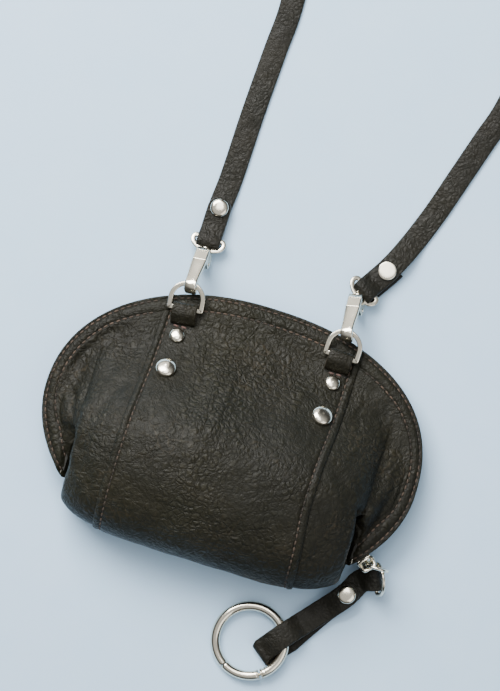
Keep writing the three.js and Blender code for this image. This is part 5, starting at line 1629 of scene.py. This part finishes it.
def strap_stations(eyes, size, step):
    (left_bar, left_heading), (right_bar, right_heading) = eyes["left"], eyes["right"]
    ground = vec(1, 1, 0)
    plan = [left_bar * ground, left_bar * ground + left_heading * FOLD_LEAD]
    plan += [vec(*p) for p in STRAP_LEFT]
    plan += [LOOP_MIDDLE + vec(*p) * size for p in LOOP]
    plan += [vec(*p) for p in STRAP_RIGHT]
    plan += [right_bar * ground + right_heading * FOLD_LEAD, right_bar * ground]
    line = GroundLine(plan)
    length = line.length

    def from_right(rows):
        return [(length - s, z) for s, z in rows][::-1]

    low_left = [(0, left_bar[2] - FOLD_RADIUS), (5, RIVETED_LOW), (17, RIVETED_LOW), (28, ON_GROUND)]
    high_right = from_right(
        [(0, right_bar[2] + FOLD_RADIUS), (7, RIVETED_HIGH), (19, RIVETED_HIGH), (34, ON_GROUND)]
    )
    main = low_left + high_right
    top_left = [(0, left_bar[2] + FOLD_RADIUS), (7, RIVETED_HIGH), (16, RIVETED_HIGH)]
    top_left.append((FOLD_TIP["left"], RIVETED_HIGH + TIP_LIFT))
    under_right = from_right([(0, right_bar[2] - FOLD_RADIUS), (5, RIVETED_LOW), (30, RIVETED_LOW)])
    start = vec(-left_heading[1], left_heading[0])
    end = vec(right_heading[1], -right_heading[0])
    return (
        round_tip(line, top_left, FOLD_TIP["left"], -1, STRAP_WIDTH)
        + layer_run(line, top_left, FOLD_TIP["left"] - STRAP_WIDTH / 2, BAR_NEAR, END_STEP)
        + hairpin(left_bar, left_heading, start, FOLD_RADIUS, 90, 270)
        + layer_run(line, main, BAR_NEAR, LEFT_END, END_STEP)
        + layer_run(line, main, LEFT_END + step, length - RIGHT_END - step, step)
        + layer_run(line, main, length - RIGHT_END, length - BAR_NEAR, END_STEP)
        + hairpin(right_bar, right_heading, end, FOLD_RADIUS, 90, 270, (0, UNDER_SLIDE))
        + slid(
            layer_run(line, under_right, length - BAR_NEAR, length - FOLD_TIP["right"], END_STEP),
            lambda k: UNDER_SLIDE * (1 + 0.25 * k),
        )
    )


def path_length(stations):
    points = np.array([station[0] for station in stations])
    return np.linalg.norm(np.diff(points, axis=0), axis=1).sum()


def loop_size(eyes):
    """The loop's size follows from the strap's real length."""
    small, large = STRAP_LENGTH * 0.02, STRAP_LENGTH
    for _ in range(18):
        middle = (small + large) / 2
        if path_length(strap_stations(eyes, middle, 22)) < STRAP_LENGTH:
            small = middle
        else:
            large = middle
    return small


def rivet_piece(name, node, place, grip, fullness, rise=0.21):
    lift = shifted(*place, RIVET_CAP + grip)
    part = stud_part(RIVET, RIVET * rise, grip, CLEARANCE, fullness)
    rivet = make_mesh(name, *moved(part, lift), NICKEL, "nickel")
    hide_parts(node)


def strap_piece(name, node, stations, width, thickness):
    points, sides, narrow = (np.array(list(values)) for values in zip(*stations))
    part = strap_part(points, sides, width, thickness, narrow, corner=0.62, crown=0.08)
    strap = make_mesh(name, *part, STRAP_LOOK, "strap_leather")
    paint_edges(strap)
    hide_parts(node)


def strap(eyes):
    stations = strap_stations(eyes, loop_size(eyes), 3.0)
    strap_piece("strap_leather_band", "strap", stations, STRAP_WIDTH, STRAP_LEATHER)
    grip = RIVETED_HIGH + STRAP_LEATHER / 2 + CLEARANCE - RIVET_CAP
    rivet_piece("strap_rivet_head_left", "strap_rivet_left", STRAP_LEFT[0], grip, 2.6)
    rivet_piece("strap_rivet_head_right", "strap_rivet_right", STRAP_RIGHT[-1], grip, 7, 0.1)


# Leash and key ring

LEASH_LINE = [(69.2, -51), (58.5, -64), (48, -76.1), (39.6, -87)]
KEY_CENTRE = (34.2, -83.2)
KEY_SWELL = 1.08  # the wire's width as a share of the solid's
COLLAR_RISE, LINE_RISE = 0.38, 0.32  # how far the collars and the line stand out
TONGUE = 0.7  # half the width of the gate's thin end at its pin


FOLD_SLIDE = 2.6  # how far the leash's lower layer has slid aside at its fold
LAYER_SLIDE = 4.4  # where the curve starts that brings it back to 0 at the rivet
SLIDE_PEAK = 0.3  # where it joins that curve, as a share of the way


def leash_slide(k):
    if k > SLIDE_PEAK:
        return LAYER_SLIDE * smooth_step(0, 1, 1 - k)
    return share(FOLD_SLIDE, LAYER_SLIDE * smooth_step(0, 1, 1 - SLIDE_PEAK), k / SLIDE_PEAK)


def leash(puller_centre):
    across = vec(*cos_sin(LEASH_D_TURN))
    out = vec(-across[1], across[0])
    c, s = cos_sin(LEASH_D_RISE)
    up = out * c + vec(0, 0, s)
    half = (D_WIDTH - D_WIRE) / 2
    leg = D_HEIGHT - D_WIRE - half
    caught = vec(-half * 0.62, leg + half * 0.78)
    hang = PULLER_RADIUS - PULLER_WIRE / 2 - D_WIRE / 2 - 3 * CLEARANCE
    caught_at = puller_centre + vec(0.94, 0, -0.34) * hang
    bar = caught_at - across * caught[0] - up * caught[1]
    ring = wire(d_path(D_WIDTH, D_HEIGHT, D_WIRE), D_WIRE / 2, True, 14, 0.95)
    place = basis(bar, across, up, np.cross(across, up))
    loop = make_mesh("leash_d_loop", *moved(ring, place), NICKEL, "nickel")
    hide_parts("leash_d_ring")
    ground = vec(1, 1, 0)
    plan = [bar * ground, bar * ground - out * FOLD_LEAD] + [vec(*p) for p in LEASH_LINE]
    line = GroundLine(plan)
    rivet_s, ring_s = line.nearest(vec(*LEASH_LINE[0])), line.nearest(vec(*LEASH_LINE[2]))
    step = layer_step(LEASH_LEATHER)
    low = RIVET_CAP + CLEARANCE / 2 + LEASH_LEATHER / 2
    floor = LEASH_LEATHER / 2
    turn = D_WIRE / 2 + CLEARANCE + LEASH_LEATHER / 2
    over_ring = floor + LEASH_LEATHER + KEY_WIRE + 2 * CLEARANCE
    fold_turn = KEY_WIRE * 0.42
    fold_s = line.length - fold_turn
    upper = [
        (rivet_s - LEASH_WIDTH / 2, low + 2 * step + TIP_LIFT),
        (rivet_s, low + 2 * step),
        (rivet_s + 3, low + 2 * step),
        (rivet_s + 12, floor + step * 1.15),
        (ring_s - 9, floor + step * 1.25),
        (ring_s - 2.4, over_ring),
        (ring_s + 3.6, over_ring),
        (fold_s, floor + 2 * fold_turn),
    ]
    middle = [
        (0, bar[2] + turn),
        (rivet_s - 6, low + step),
        (rivet_s + 5, low + step),
        (rivet_s + 12, floor),
    ]
    under = [(0, bar[2] - turn), (rivet_s - 5, low), (rivet_s + 9, low)]
    bar_side, fold_side = line.side(0), line.side(line.length)
    fold_at = line.point(fold_s, floor + fold_turn)
    stations = (
        round_tip(line, upper, rivet_s - LEASH_WIDTH / 2, 1, LEASH_WIDTH)
        + layer_run(line, upper, rivet_s, fold_s - 0.6, 1.4)
        + hairpin(fold_at, vec(fold_side[1], -fold_side[0]), fold_side, fold_turn, 90, -90, (0, FOLD_SLIDE))
        + slid(layer_run(line, middle, fold_s - 0.6, rivet_s + 5, 1.5), leash_slide)
        + layer_run(line, middle, rivet_s + 4, 0.6, 1.5)
        + hairpin(bar, vec(bar_side[1], -bar_side[0]), bar_side, turn, 90, 270)
        + layer_run(line, under, 0.6, rivet_s + 4.5, 1.5)
    )
    strap_piece("leash_leather", "leash_strap", stations, LEASH_WIDTH, LEASH_LEATHER)
    grip = low + 2 * step + LEASH_LEATHER / 2 + CLEARANCE - RIVET_CAP
    rivet_piece("leash_rivet_head", "leash_rivet", LEASH_LINE[0], grip, 2.6)


def key_ring():
    radius = (KEY_RING - KEY_WIRE) / 2
    lift = LEASH_LEATHER + CLEARANCE
    crossing = unit(vec(*LEASH_LINE[2]) - vec(*KEY_CENTRE))
    tilt = math.asin(lift / (2 * radius))
    x = crossing * math.cos(tilt) + vec(0, 0, math.sin(tilt))
    y = vec(-crossing[1], crossing[0])
    place = basis(vec(*KEY_CENTRE, KEY_WIRE / 2 + lift / 2), x, y, np.cross(x, y))

    def arc(start, end, wire_radius=KEY_WIRE / 2 * KEY_SWELL):
        angles = rad(np.linspace(start, end, max(2, int((end - start) / 4) + 1)))
        path = np.column_stack([radius * np.cos(angles), radius * np.sin(angles), 0 * angles])
        return wire(path, wire_radius, False, 20)

    def collar(start, end):
        return arc(start, end, KEY_WIRE / 2 + COLLAR_RISE)

    fork, root = 6, 11
    start, end = KEY_PIN_ANGLE - fork, 360 + KEY_TIP_ANGLE
    body = [arc(start, end), collar(start - 0.6, start + 1.6)]
    body.append(arc(start + 8, start + 9.6, KEY_WIRE / 2 + LINE_RISE))
    pin = vec(*cos_sin(KEY_PIN_ANGLE)) * radius
    head = turned([(0, -2.15), (0.6, -2.1), (0.72, -1.9), (0.72, 1.9), (0.6, 2.1), (0, 2.15)], 16)
    body.append((head[0] + pin, head[1]))
    ring = make_mesh("key_ring_wire", *moved(joined(body), place), NICKEL, "nickel")
    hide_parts("key_ring")
    root_angle = KEY_PIN_ANGLE - root
    gate = [arc(KEY_TIP_ANGLE + 1, root_angle), collar(root_angle - 1.8, root_angle + 0.4)]
    gate.append(arc(root_angle, KEY_PIN_ANGLE - 2, TONGUE))
    gate_piece = make_mesh("key_ring_gate_wire", *moved(joined(gate), place), NICKEL, "nickel", "gate")
    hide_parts("key_ring_gate")


# Camera, light and floor

PHOTO_CENTRE = (-4.3, 41.7)
PHOTO_ROLL = 17.1
PHOTO_HEIGHT_MM = 306.6
CAMERA_TILT = (2.14, -0.57)  # degrees towards +X and +Y
CAMERA_REACH = 2000
SENSOR = 24
TABLE_REACH = 3.0  # metres
# Each light's place, target, size, power and tint, in metres and watts
LIGHTS = {
    "window": ((-0.55, 0.62, 0.85), (0, 0.02, 0), (0.8, 0.6), 30.0, (1.0, 0.99, 0.97)),
    "fill": ((0.9, -0.5, 1.1), (0, 0, 0), (1.0, 1.0), 5.5, (1.0, 0.985, 0.96)),
    "overhead": ((-0.1, 0.45, 1.25), (0, 0, 0), (0.5, 0.8), 6.5, (1, 0.98, 0.95)),
    "card": ((-0.59, 1.02, 0.42), (0, 0.06, 0.02), (1.0, 0.5), 2.2, (1, 0.98, 0.94)),
}
# The room is pale at the ceiling and at the level of the table, and darker between them.
ROOM = [(0.0, 0.3), (0.05, 0.25), (0.14, 0.1), (0.42, 0.08), (0.66, 0.4), (0.86, 1.0)]
ROOM_TINT = (1, 0.99, 0.97)
ROOM_LIGHT = 0.72


def stage_and_camera():
    floor = bpy.data.meshes.new("table")
    corners = [(x * TABLE_REACH, y * TABLE_REACH, 0) for x, y in ((-1, -1), (1, -1), (1, 1), (-1, 1))]
    floor.from_pydata(corners, [], [(0, 1, 2, 3)])
    table = linked("table", floor)
    nodes = Nodes("table_top")
    fleck = nodes.between(nodes.noise(40, 4, 0.6), 0.3, 0.7)
    tone = nodes.mix(fleck, colour(186, 219, 249), colour(191, 222, 250))
    normal = nodes.bump(nodes.noise(700, 3), 0.06, 0.1 * MM)
    floor.materials.append(nodes.set(Base_Color=tone, Roughness=0.75, Normal=normal))
    lens = bpy.data.cameras.new("camera")
    lens.sensor_fit = "VERTICAL"
    lens.sensor_height = lens.sensor_width = SENSOR
    lens.lens = SENSOR * CAMERA_REACH / PHOTO_HEIGHT_MM
    camera = linked("camera", lens)
    back = unit(vec(math.tan(rad(CAMERA_TILT[0])), math.tan(rad(CAMERA_TILT[1])), 1))
    c, s = cos_sin(PHOTO_ROLL)
    right = unit(np.cross(vec(-s, c), back))
    place = (vec(*PHOTO_CENTRE) + back * CAMERA_REACH) * MM
    camera.matrix_world = Matrix(basis(place, right, np.cross(back, right), back).tolist())
    bpy.context.scene.camera = camera


def area_light(name, place, target, size, power, tone):
    data = bpy.data.lights.new(name, "AREA")
    data.shape = "RECTANGLE"
    data.size, data.size_y = size
    data.energy = power
    data.color = tone
    light = linked(name, data)
    light.location = place
    heading = Vector(target) - Vector(place)
    light.rotation_euler = heading.to_track_quat("-Z", "Y").to_euler()


def lights():
    for name, settings in LIGHTS.items():
        area_light(name, *settings)
    world = bpy.data.worlds.new("room")
    bpy.context.scene.world = world
    world.use_nodes = True
    tree = world.node_tree
    background = tree.nodes["Background"]
    heading = tree.nodes.new("ShaderNodeTexCoord").outputs["Generated"]
    split = tree.nodes.new("ShaderNodeSeparateXYZ")
    tree.links.new(heading, split.inputs[0])
    ramp = tree.nodes.new("ShaderNodeValToRGB")
    tree.links.new(split.outputs["Z"], ramp.inputs["Fac"])
    elements = ramp.color_ramp.elements
    for i, (at, light) in enumerate(ROOM):
        element = elements[i] if i < 2 else elements.new(at)
        element.position = at
        element.color = (*(tint * light for tint in ROOM_TINT), 1)
    tree.links.new(ramp.outputs["Color"], background.inputs["Color"])
    background.inputs["Strength"].default_value = ROOM_LIGHT


stage_and_camera()
lights()
centre_panel()
for end_word, end_side in (("left", -1), ("right", 1)):
    side_panel(end_side)
    studs(end_word, end_side)
    tab_and_ring(end_word, end_side)
zip_teeth()
for tape in ("zip_tape_front", "zip_tape_back"):
    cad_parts[tape].data.materials.clear()
    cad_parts[tape].data.materials.append(TAPE_LOOK)
puller_middle = slider_and_puller()
strap({word: clasp(word) for word in ("left", "right")})
leash(puller_middle)
key_ring()
